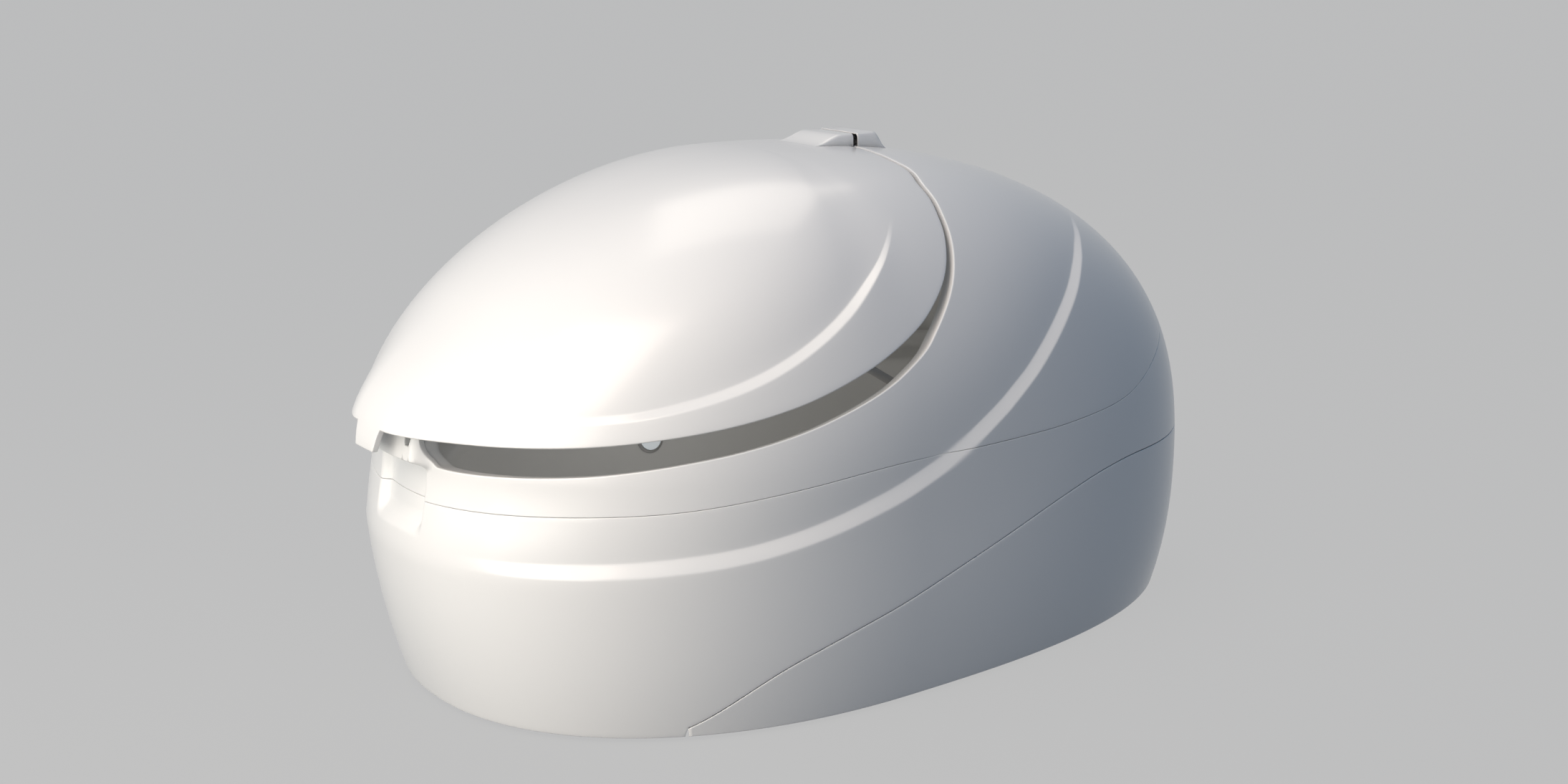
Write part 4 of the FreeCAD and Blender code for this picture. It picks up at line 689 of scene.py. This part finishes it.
def hinge_cover(name, side, near, far, ramp, curl):
    """z = skin + (top - skin) * slope(x) * section(y), from near to far behind or ahead of the pin. The
    section is a box with 10 mm corners. The slope is 1 up to the ramp, and then falls to just below 0 as
    1 - ease(t^curl). A second loop 3 mm inside makes the wall."""
    d = np.concatenate([[near, near + 0.8], np.linspace(near + 3, far - ramp, 8),
                        far - ramp + ramp * np.linspace(0, 1, 18)[1:]])
    t = np.clip((d - far + ramp) / ramp, 0, 1)
    slope = (1 - ease(t ** curl)) * 1.04 - 0.04
    slope[0] -= 0.03
    section = rounded([(-COVER_HALF, 0), (-COVER_HALF, COVER_SECTION), (COVER_HALF, COVER_SECTION),
                       (COVER_HALF, 0)], [10, 10], 7)
    loops = []
    for wall in (0.0, COVER_WALL):
        y = section[:, 0] * (1 - wall / COVER_HALF)
        x = PIN_X + side * d
        skin = skin_top(x[:, None], y[None, :])
        z = skin + (COVER_TOP - wall - skin) * slope[:, None] * section[:, 1] / COVER_SECTION
        z = np.maximum(z, skin - COVER_DIVE)
        loops.append(np.stack(np.broadcast_arrays(x[:, None], y[None, :], z), -1))
    grid = np.concatenate([loops[0], loops[1][:, ::-1]], 1)
    n_rows, n_cols = grid.shape[:2]
    quads = [grid_quads(n_rows, n_cols, False, True)]
    half = n_cols // 2
    k = np.arange(half - 1)
    for row, flip in ((0, False), (n_rows - 1, True)):
        base = row * n_cols
        cap = np.stack([base + k, base + n_cols - 1 - k, base + n_cols - 2 - k, base + k + 1], 1)
        quads.append(cap[:, ::-1] if flip else cap)
    quads = np.concatenate(quads)
    return mesh_object(name, grid.reshape(-1, 3), quads if side < 0 else quads[:, ::-1])


cover_lid = place(hinge_cover("cover_lid", -1, near=12.0, far=153.0, ramp=100.0, curl=1.0),
                  "lid", "hinge_lid_cover")
cover_base = place(hinge_cover("cover_base", 1, near=4.0, far=108.0, ramp=42.0, curl=0.8),
                   "base", "hinge_base_cover")

# %% [markdown]
# ## Turned and swept fittings
# Lights, nozzles, buttons and struts are turned parts: a path of (radius, height) swung round an axis, its
# corners broken by small arcs so that they catch the light.

# %% Lathe and tube


def square_to(axis):
    """Two unit vectors square to an axis and to each other."""
    axis = np.asarray(axis, float) / np.linalg.norm(axis)
    u = np.cross(axis, [0, 0, 1.0] if abs(axis[2]) < 0.9 else [1.0, 0, 0])
    u /= np.linalg.norm(u)
    return axis, u, np.cross(axis, u)


def lathe(name, path, centre, axis, count=64):
    """Turned piece: centre + axis * h + r * (u cos t + v sin t), for a path of (r, h) from the axis round
    the outside and back to the axis, listed from below."""
    axis, u, v = square_to(axis)
    path = np.asarray(path, float)
    t = np.linspace(0, 2 * math.pi, count, endpoint=False)
    ring = np.cos(t)[:, None] * u + np.sin(t)[:, None] * v
    radii, heights = path[1:-1, 0][:, None, None], path[1:-1, 1][:, None, None]
    grid = np.asarray(centre, float) + heights * axis + radii * ring
    poles = [(0, centre + axis * path[0, 1]), (-1, centre + axis * path[-1, 1])]
    return surface(name, grid, poles=poles)


def tube(name, path, radius, count=20):
    """Round bar along a path: each ring is square to the path, turned as little as possible from the last
    one, and both ends are capped."""
    path = np.asarray(path, float)
    tangent = np.gradient(path, axis=0)
    tangent /= np.linalg.norm(tangent, axis=1, keepdims=True)
    _, u, _ = square_to(tangent[0])
    t = np.linspace(0, 2 * math.pi, count, endpoint=False)
    grid = []
    for p, along in zip(path, tangent):
        u = u - along * (u @ along)
        u /= np.linalg.norm(u)
        v = np.cross(along, u)
        grid.append(p + radius * (np.cos(t)[:, None] * u + np.sin(t)[:, None] * v))
    return surface(name, np.array(grid), poles=[(0, path[0]), (-1, path[-1])])


def paint_faces(ob, slot, mask):
    """Gives a mask of faces another material slot than the first."""
    ob.data.polygons.foreach_set("material_index", np.where(mask, slot, 0).astype(np.int32))


def middle_of(node):
    """Middle of a CAD node's box, in millimetres."""
    low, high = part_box(node)
    return (np.array(low) + np.array(high)) * 500.0


# %% Wall fittings


def wall_spot(x, z, side):
    """Point of the basin's wall at a place along the pod and a height, and the wall's inward normal."""
    def at(dx, dz):
        inset = np.interp(z + dz, [FLOOR, DECK], [FLOOR_INSET, DECK_INSET])
        angle = np.linspace(1, 179, 4000)
        p = egg(angle, row_of(z + dz, inset), inset)
        return np.array([x + dx, side * np.interp(-(x + dx), -p[:, 0], p[:, 1]), z + dz])

    p = at(0, 0)
    n = np.cross(at(5, 0) - at(-5, 0), at(0, 5) - at(0, -5))
    n /= np.linalg.norm(n)
    return p, n if n[1] * side < 0 else -n


def radius_of(ob, centre, axis):
    """Distance of every face's middle from an axis, in millimetres."""
    c = np.empty(len(ob.data.polygons) * 3)
    ob.data.polygons.foreach_get("center", c)
    d = c.reshape(-1, 3) * 1000 - centre
    axis = axis / np.linalg.norm(axis)
    return np.linalg.norm(d - (d @ axis)[:, None] * axis, axis=1)


LENS_RADIUS = 36.4
LIGHT_RING = rounded([(0, -4), (40, -4), (46, 0), (46, 5), (37, 9), (36.5, 6)], [0, 0, 3, 2])
LIGHT_LENS = rounded([(36, 6), (20, 9.5), (0, 11)], [30], 8)
LIGHT_PATH = np.concatenate([[(0, -4)], LIGHT_RING, LIGHT_LENS])
JET_PATH = rounded([(0, -4), (22, -4), (26, 0), (26, 4), (19, 10), (11, 12), (9.5, 4), (0, 2)],
                   [0, 1, 2, 3, 1.5, 1])
SUCTION_PATH = rounded([(0, -4), (36, -4), (40, 0), (40, 3), (34, 6), (31, 6), (30, 3.5), (27, 3.5), (26, 7),
                        (23, 7), (22, 4), (19, 4), (18, 8), (15, 8), (14, 4.5), (11, 4.5), (10, 9), (0, 9.5)],
                       [0, 1, 1] + [0.7] * 13)
fittings, lights = [], []
for name, side in (("right", 1), ("left", -1)):
    for kind, path, slots in (("light", LIGHT_PATH, lights), ("jet", JET_PATH, fittings),
                              ("suction", SUCTION_PATH, fittings)):
        middle = middle_of(kind + "_" + name)
        spot, normal = wall_spot(middle[0], middle[2], side)
        ob = place(lathe(kind + "_fitting_" + name, path, spot, normal), "base", kind + "_" + name)
        if kind == "light":
            paint_faces(ob, 1, radius_of(ob, spot, normal) < LENS_RADIUS)
        slots.append(ob)

# %% [markdown]
# ## Buttons, struts, grip and rear connections
# The two deck buttons stand in steel rings. The struts run from the deck to the lid: a tube that takes
# in a thinner rod, with an eye at each far end. The grip inside the lid is a bent bar.

# %% Buttons
BEZEL_PATH = rounded([(0, 0), (26, 0), (26, 10), (22, 14), (17.6, 12.5), (17.6, 2.5), (0, 2.5)],
                     [0, 4, 2.5, 0.8, 0])
BUTTON_PATH = rounded([(0, 6.8), (17, 6.8), (17, 17.5), (13, 17.2), (9, 15.6), (0, 15.2)], [0.6, 2.2, 2, 5])
bezels, buttons = [], {}
for name in ("light", "help"):
    foot = middle_of(name + "_bezel") * [1, 1, 0] + [0, 0, DECK]
    bezels.append(place(lathe(name + "_ring", BEZEL_PATH, foot, (0, 0, 1)), "base", name + "_bezel"))
    buttons[name] = place(lathe(name + "_cap", BUTTON_PATH, foot, (0, 0, 1)), name + "_button",
                          name + "_button")

# %% Gas struts
strut_tubes, strut_rods = [], []
STRUT_FOOT, STRUT_HEAD = np.array([140.1, 585.0, 649.8]), np.array([-319.95, 585.0, 930.0])


def strut_end(name, centre, body):
    """Closed eye of a strut: a drum across the pod with broken edges."""
    path = rounded([(0, -4), (9, -4), (9, 4), (0, 4)], [1.2, 1.2])
    ob = lathe(name, path, centre, (0, 1, 0), 40)
    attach(ob, body)
    return ob


for name, side in (("right", 1), ("left", -1)):
    foot, head = STRUT_FOOT * [1, side, 1], STRUT_HEAD * [1, side, 1]
    axis = (head - foot) / np.linalg.norm(head - foot)
    body = "strut_cylinder_" + name
    low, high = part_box(body)
    mouth = (foot[0] - low[0] * 1000) / abs(axis[0]) - 5
    shell = rounded([(0, 7), (4, 7), (4.5, 18), (11, 22), (11, mouth - 4), (8, mouth), (5.4, mouth),
                     (0, mouth)], [0, 2, 3, 4, 1, 0])
    strut_tubes.append(place(lathe("strut_tube_" + name, shell, foot, axis), body, body))
    strut_tubes.append(strut_end("strut_foot_" + name, foot, body))
    body = "strut_rod_" + name
    end = np.linalg.norm(head - foot) - 6
    bar = rounded([(0, 40), (5, 40), (5, end - 8), (4.4, end - 6), (4.4, end), (0, end)],
                  [0.5, 0.3, 0.3, 0])
    strut_rods.append(place(lathe("strut_bar_" + name, bar, foot, axis, 40), body, body))
    strut_rods.append(strut_end("strut_head_" + name, head, body))

# %% Inner grip and rear connections
GRIP = rounded([(-982, 96, 940), (-860, 96, 830), (-860, -96, 830), (-982, -96, 940)], [26, 26], 14)
grip_ends = [np.linspace(GRIP[0], GRIP[1], 8)[:-1], GRIP[1:15], np.linspace(GRIP[14], GRIP[15], 12)[1:-1],
             GRIP[15:-1], np.linspace(GRIP[-2], GRIP[-1], 8)]
inner_grip = place(tube("inner_grip", np.concatenate(grip_ends), 10.8), "lid", "lid_grip")

rear_pieces = []
for node, radius, bore in (("mains_inlet", 22.0, 8.0), ("drain_outlet", 30.0, 20.0)):
    low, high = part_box(node)
    end = high[0] * 1000
    centre = middle_of(node) * [0, 1, 1] + [end, 0, 0]
    deep = end - low[0] * 1000
    path = rounded([(0, -deep), (radius, -deep), (radius, -deep * 0.35), (radius - 3, -deep * 0.35 + 3),
                    (bore + 5, -deep * 0.35 + 3), (bore + 4, 0), (bore, 0), (bore, -deep * 0.5),
                    (0, -deep * 0.5)], [0, 2, 1, 1, 1.5, 0.8, 0])
    rear_pieces.append(place(lathe(node + "_fitting", path, centre, (1, 0, 0)), "base", node))

# %% [markdown]
# ## Finishes
# Every finish reads Object coordinates, so it stays put on its piece. A fine noise gives the bump, a broad
# one varies colour and roughness a little, the way a hand-laid, polished surface does.

# %% Finish helper


def node(tree, kind, **inputs):
    """New shader node. Each input takes a value or a link from another node's output; an underscore in
    its name stands for a space."""
    new = tree.nodes.new("ShaderNode" + kind)
    plug(tree, new, **inputs)
    return new


def plug(tree, new, **inputs):
    """Sets or links a node's inputs."""
    for name, given in inputs.items():
        socket = new.inputs[name.replace("_", " ")]
        if isinstance(given, bpy.types.NodeSocket):
            tree.links.new(given, socket)
        else:
            socket.default_value = given


def finish(name, color, rough, metal=0.0, coat=0.0, coat_rough=0.03, grain=400.0, bump=0.05, depth=0.0002,
           tint=0.02, spread=0.05, stretch=(1, 1, 1), drift=1.6, glow=0.0):
    """Principled finish. Colour = color * (1 - tint + 2 tint * n1); roughness = rough - spread to
    rough + spread with n1, or with n2 on metal; bump from n2. n1 is a broad noise, n2 a fine one,
    stretched for brushing."""
    m = bpy.data.materials.new(name)
    m.use_nodes = True
    tree = m.node_tree
    where = node(tree, "TexCoord").outputs["Object"]
    broad = node(tree, "TexNoise", Vector=where, Scale=drift, Detail=3.0).outputs["Fac"]
    stretched = node(tree, "Mapping", Vector=where, Scale=stretch).outputs["Vector"]
    fine = node(tree, "TexNoise", Vector=stretched, Scale=grain, Detail=2.0).outputs["Fac"]
    ramp = node(tree, "ValToRGB", Fac=broad)
    for end, share in zip(ramp.color_ramp.elements, (1 - tint, 1 + tint)):
        end.color = (*[min(1.0, c * share) for c in color], 1)
    level = node(tree, "MapRange", Value=fine if metal > 0.5 else broad,
                 To_Min=rough - spread, To_Max=rough + spread)
    relief = node(tree, "Bump", Strength=bump, Distance=depth, Height=fine)
    shader = tree.nodes["Principled BSDF"]
    plug(tree, shader, Base_Color=ramp.outputs["Color"], Roughness=level.outputs["Result"],
         Normal=relief.outputs["Normal"], Metallic=metal, Coat_Weight=coat, Coat_Roughness=coat_rough)
    if glow:
        plug(tree, shader, Emission_Color=(*color, 1), Emission_Strength=glow)
    return m


def dress(materials, *objects):
    """Puts materials on pieces or on CAD nodes, in place of what they carry; faces keep their slots."""
    for ob in objects:
        ob = frame["nodes"][ob] if isinstance(ob, str) else ob
        index = np.zeros(len(ob.data.polygons), np.int32)
        ob.data.polygons.foreach_get("material_index", index)
        ob.data.materials.clear()
        materials = materials if isinstance(materials, list) else [materials]
        for m in materials:
            ob.data.materials.append(m)
        ob.data.polygons.foreach_set("material_index", np.minimum(index, len(materials) - 1))


# %% [markdown]
# The shell is white gelcoat, polished but not mirror-like, and the linings are the same white in satin.
# Hidden parts wear what a plant room shows: powder coat, galvanised sheet, pale pipes, brass.

# %% Finishes
gelcoat = finish("gelcoat", (0.81, 0.81, 0.80), 0.36, coat=0.7, coat_rough=0.19, grain=55, bump=0.06,
                 depth=0.0005, tint=0.008, spread=0.03)
lining = finish("lining", (0.77, 0.77, 0.76), 0.40, coat=0.4, coat_rough=0.20, grain=90, bump=0.10,
                depth=0.0004, tint=0.012)
rubber = finish("rubber", (0.035, 0.035, 0.038), 0.62, grain=900, bump=0.25, spread=0.08, tint=0.10)
satin_steel = finish("satin_steel", (0.60, 0.60, 0.61), 0.27, metal=1.0, grain=900, bump=0.10,
                     stretch=(1, 24, 24), spread=0.09)
chrome = finish("chrome", (0.72, 0.72, 0.73), 0.07, metal=1.0, bump=0.01, spread=0.02)
grey_lacquer = finish("grey_lacquer", (0.42, 0.415, 0.41), 0.42, coat=0.3, bump=0.02)
powder_grey = finish("powder_grey", (0.13, 0.135, 0.145), 0.52, grain=1100, bump=0.30, tint=0.05)
galvanised = finish("galvanised", (0.48, 0.49, 0.50), 0.42, metal=1.0, grain=120, bump=0.05, tint=0.16,
                    drift=34, spread=0.12)
zinc = finish("zinc", (0.50, 0.50, 0.52), 0.36, metal=1.0, grain=600, bump=0.06)
foam_board = finish("foam_board", (0.66, 0.58, 0.33), 0.85, grain=260, bump=0.5, tint=0.08, drift=30)
heater_mat = finish("heater_mat", (0.30, 0.055, 0.035), 0.60, grain=500, bump=0.35, tint=0.06)
black_plastic = finish("black_plastic", (0.03, 0.03, 0.033), 0.48, grain=900, bump=0.30)
pale_plastic = finish("pale_plastic", (0.62, 0.62, 0.60), 0.42, grain=900, bump=0.18)
white_plastic = finish("white_plastic", (0.74, 0.74, 0.73), 0.30, coat=0.3, grain=500, bump=0.05)
grey_plastic = finish("grey_plastic", (0.35, 0.36, 0.37), 0.50, grain=900, bump=0.30)
blue_plastic = finish("blue_plastic", (0.02, 0.055, 0.16), 0.45, grain=900, bump=0.25)
red_plastic = finish("red_plastic", (0.48, 0.018, 0.014), 0.30, coat=0.5, bump=0.03)
clear_button = finish("clear_button", (0.66, 0.70, 0.72), 0.26, coat=0.6, bump=0.02)
lens = finish("lens", (0.82, 0.88, 0.92), 0.22, coat=1.0, bump=0.02, glow=0.3)
brass = finish("brass", (0.55, 0.36, 0.12), 0.34, metal=1.0, grain=700, bump=0.20, spread=0.10)
red_dip = finish("red_dip", (0.42, 0.02, 0.015), 0.42, coat=0.3, grain=300, bump=0.10)

dress(gelcoat, hood, tub, apron, lid, cover_lid, cover_base)
dress(lining, "lid_liner", "hood_liner", "tub_liner", *[bpy.data.objects[n] for n in
                                                       ("lid_lining", "hood_lining", "basin")])
dress(rubber, rim_seal, "nose_buffer_right", "nose_buffer_left")
dress(satin_steel, "hinge_lid_leaf", "hinge_base_leaf", "hinge_pin", "hinge_lid_bolts", "hinge_base_bolts",
      "strut_base_bracket_right", "strut_base_bracket_left", "strut_lid_bracket_right",
      "strut_lid_bracket_left", "floor_grate", inner_grip)
dress(grey_lacquer, *strut_tubes)
dress(chrome, *strut_rods, *bezels)
dress(white_plastic, *fittings)
dress([satin_steel, lens], *lights)
dress(clear_button, buttons["light"])
dress(red_plastic, buttons["help"])
dress(black_plastic, *rear_pieces, "pump")
dress(powder_grey, "underframe", "shell_brackets")
dress(galvanised, "plant_tray")
dress(zinc, "levelling_feet")
dress(foam_board, "floor_board")
dress(heater_mat, "heater_pad")
dress(pale_plastic, "filter_housing", "pump_pipe", "filter_pipe", "uv_pipe")
dress(blue_plastic, "filter_cap")
dress(satin_steel, "uv_unit")
dress(grey_plastic, "control_box")
dress(brass, "valve_body")
dress(red_dip, "valve_lever")
print(len(bpy.data.materials), "finishes")

# %% [markdown]
# ## Camera, studio and light
# The camera stands low, ahead of the pod on its -Y side. Three warm softboxes round the nose,
# a weaker one high over the rear and a dim blue room give the round form its run from cream to
# blue-grey. A small lamp inside stands in for the glow of the pod's own lights. What the camera and
# mirrors see behind it all is one plain grey.

# %% Camera
BACKDROP = (0.5209, 0.5209, 0.5209, 1)


def look(az, el, distance, target, lens_length):
    """Camera on a sphere round a target."""
    a, e = math.radians(az), math.radians(el)
    back = Vector((math.sin(a) * math.cos(e), -math.cos(a) * math.cos(e), math.sin(e)))
    cam = bpy.data.objects.new("camera", bpy.data.cameras.new("camera"))
    bpy.context.scene.collection.objects.link(cam)
    cam.location = Vector(target) + back * distance
    cam.rotation_mode = "QUATERNION"
    cam.rotation_quaternion = (-back).to_track_quat("-Z", "Y")
    cam.data.lens, cam.data.sensor_width = lens_length, 36.0
    bpy.context.scene.camera = cam
    return cam


print("camera at", look(-36.5, 14.237, 5.287, (0.005, 0.0, 0.632), 43.72).location)

# %% Lamps


def softbox(name, at, target, size, color, power):
    """Square area lamp at a place, turned to a target."""
    lamp = bpy.data.lights.new(name, "AREA")
    lamp.shape, lamp.size, lamp.size_y = "RECTANGLE", size[0], size[1]
    lamp.color, lamp.energy = color, power
    ob = bpy.data.objects.new(name, lamp)
    bpy.context.scene.collection.objects.link(ob)
    ob.location = at
    ob.rotation_mode = "QUATERNION"
    ob.rotation_quaternion = (Vector(target) - Vector(at)).to_track_quat("-Z", "Y")
    return ob


softbox("nose", (-4.86, 0.55, 1.75), (0, 0, 0.7), (3.4, 3.0), (1.0, 0.97, 0.88), 58)
softbox("low_front", (-4.6, -1.7, 1.3), (0, 0, 0.5), (3.4, 2.6), (1.0, 0.94, 0.85), 86)
softbox("front", (-3.4, -1.5, 4.05), (0, 0, 0.7), (3.2, 3.2), (1.0, 0.86, 0.74), 140)
softbox("rear", (1.1, 1.5, 5.35), (0, 0, 0.7), (3.0, 3.0), (1.0, 0.92, 0.82), 55)

glow = bpy.data.lights.new("chamber", "POINT")
glow.energy, glow.shadow_soft_size, glow.color = 2.1, 0.25, (1.0, 0.97, 0.93)
chamber = bpy.data.objects.new("chamber", glow)
chamber.location = (-0.15, 0.0, 0.72)
chamber.visible_camera = chamber.visible_glossy = False
bpy.context.scene.collection.objects.link(chamber)
print(len(bpy.data.lights), "lamps")

# %% [markdown]
# The room lights the pod in dim blue, but shows itself as plain grey. The floor is mostly plain grey to
# the eye too, and keeps a fifth of its paint, which takes the pod's shadow.

# %% World and floor
world = bpy.data.worlds.new("studio")
bpy.context.scene.world = world
world.use_nodes = True
tree = world.node_tree
room, out = tree.nodes["Background"], tree.nodes["World Output"]
plug(tree, room, Color=(0.055, 0.13, 0.235, 1))
seen = node(tree, "Background", Color=BACKDROP)


def seen_directly(tree):
    """Output that is 1 for rays that the camera, mirrors and glass send out."""
    path = node(tree, "LightPath").outputs
    last = path["Is Camera Ray"]
    for kind in ("Is Glossy Ray", "Is Transmission Ray"):
        both = node(tree, "Math")
        both.operation = "MAXIMUM"
        tree.links.new(last, both.inputs[0])
        tree.links.new(path[kind], both.inputs[1])
        last = both.outputs[0]
    return last


def mixed(tree, share, first, second, out):
    """Sends a mix of two shaders to an output: the second by its share."""
    mix = node(tree, "MixShader", Fac=share)
    tree.links.new(first.outputs[0], mix.inputs[1])
    tree.links.new(second.outputs[0], mix.inputs[2])
    plug(tree, out, Surface=mix.outputs[0])


mixed(tree, seen_directly(tree), room, seen, out)

floor_mesh = bpy.data.meshes.new("floor")
floor_mesh.from_pydata([(-40, -40, 0), (40, -40, 0), (40, 40, 0), (-40, 40, 0)], [], [(0, 1, 2, 3)])
floor = bpy.data.objects.new("floor", floor_mesh)
bpy.context.scene.collection.objects.link(floor)
pale = bpy.data.materials.new("pale_floor")
pale.use_nodes = True
tree = pale.node_tree
paint = tree.nodes["Principled BSDF"]
plug(tree, paint, Base_Color=(0.20, 0.20, 0.20, 1), Roughness=0.9, Specular_IOR_Level=0.1)
plain = node(tree, "Emission", Color=(0.62, 0.62, 0.62, 1))
share = node(tree, "Math")
share.operation = "MULTIPLY"
share.inputs[1].default_value = 0.8
tree.links.new(seen_directly(tree), share.inputs[0])
mixed(tree, share.outputs[0], paint, plain, tree.nodes["Material Output"])
floor.data.materials.append(pale)
bpy.context.scene.view_settings.view_transform = "Standard"
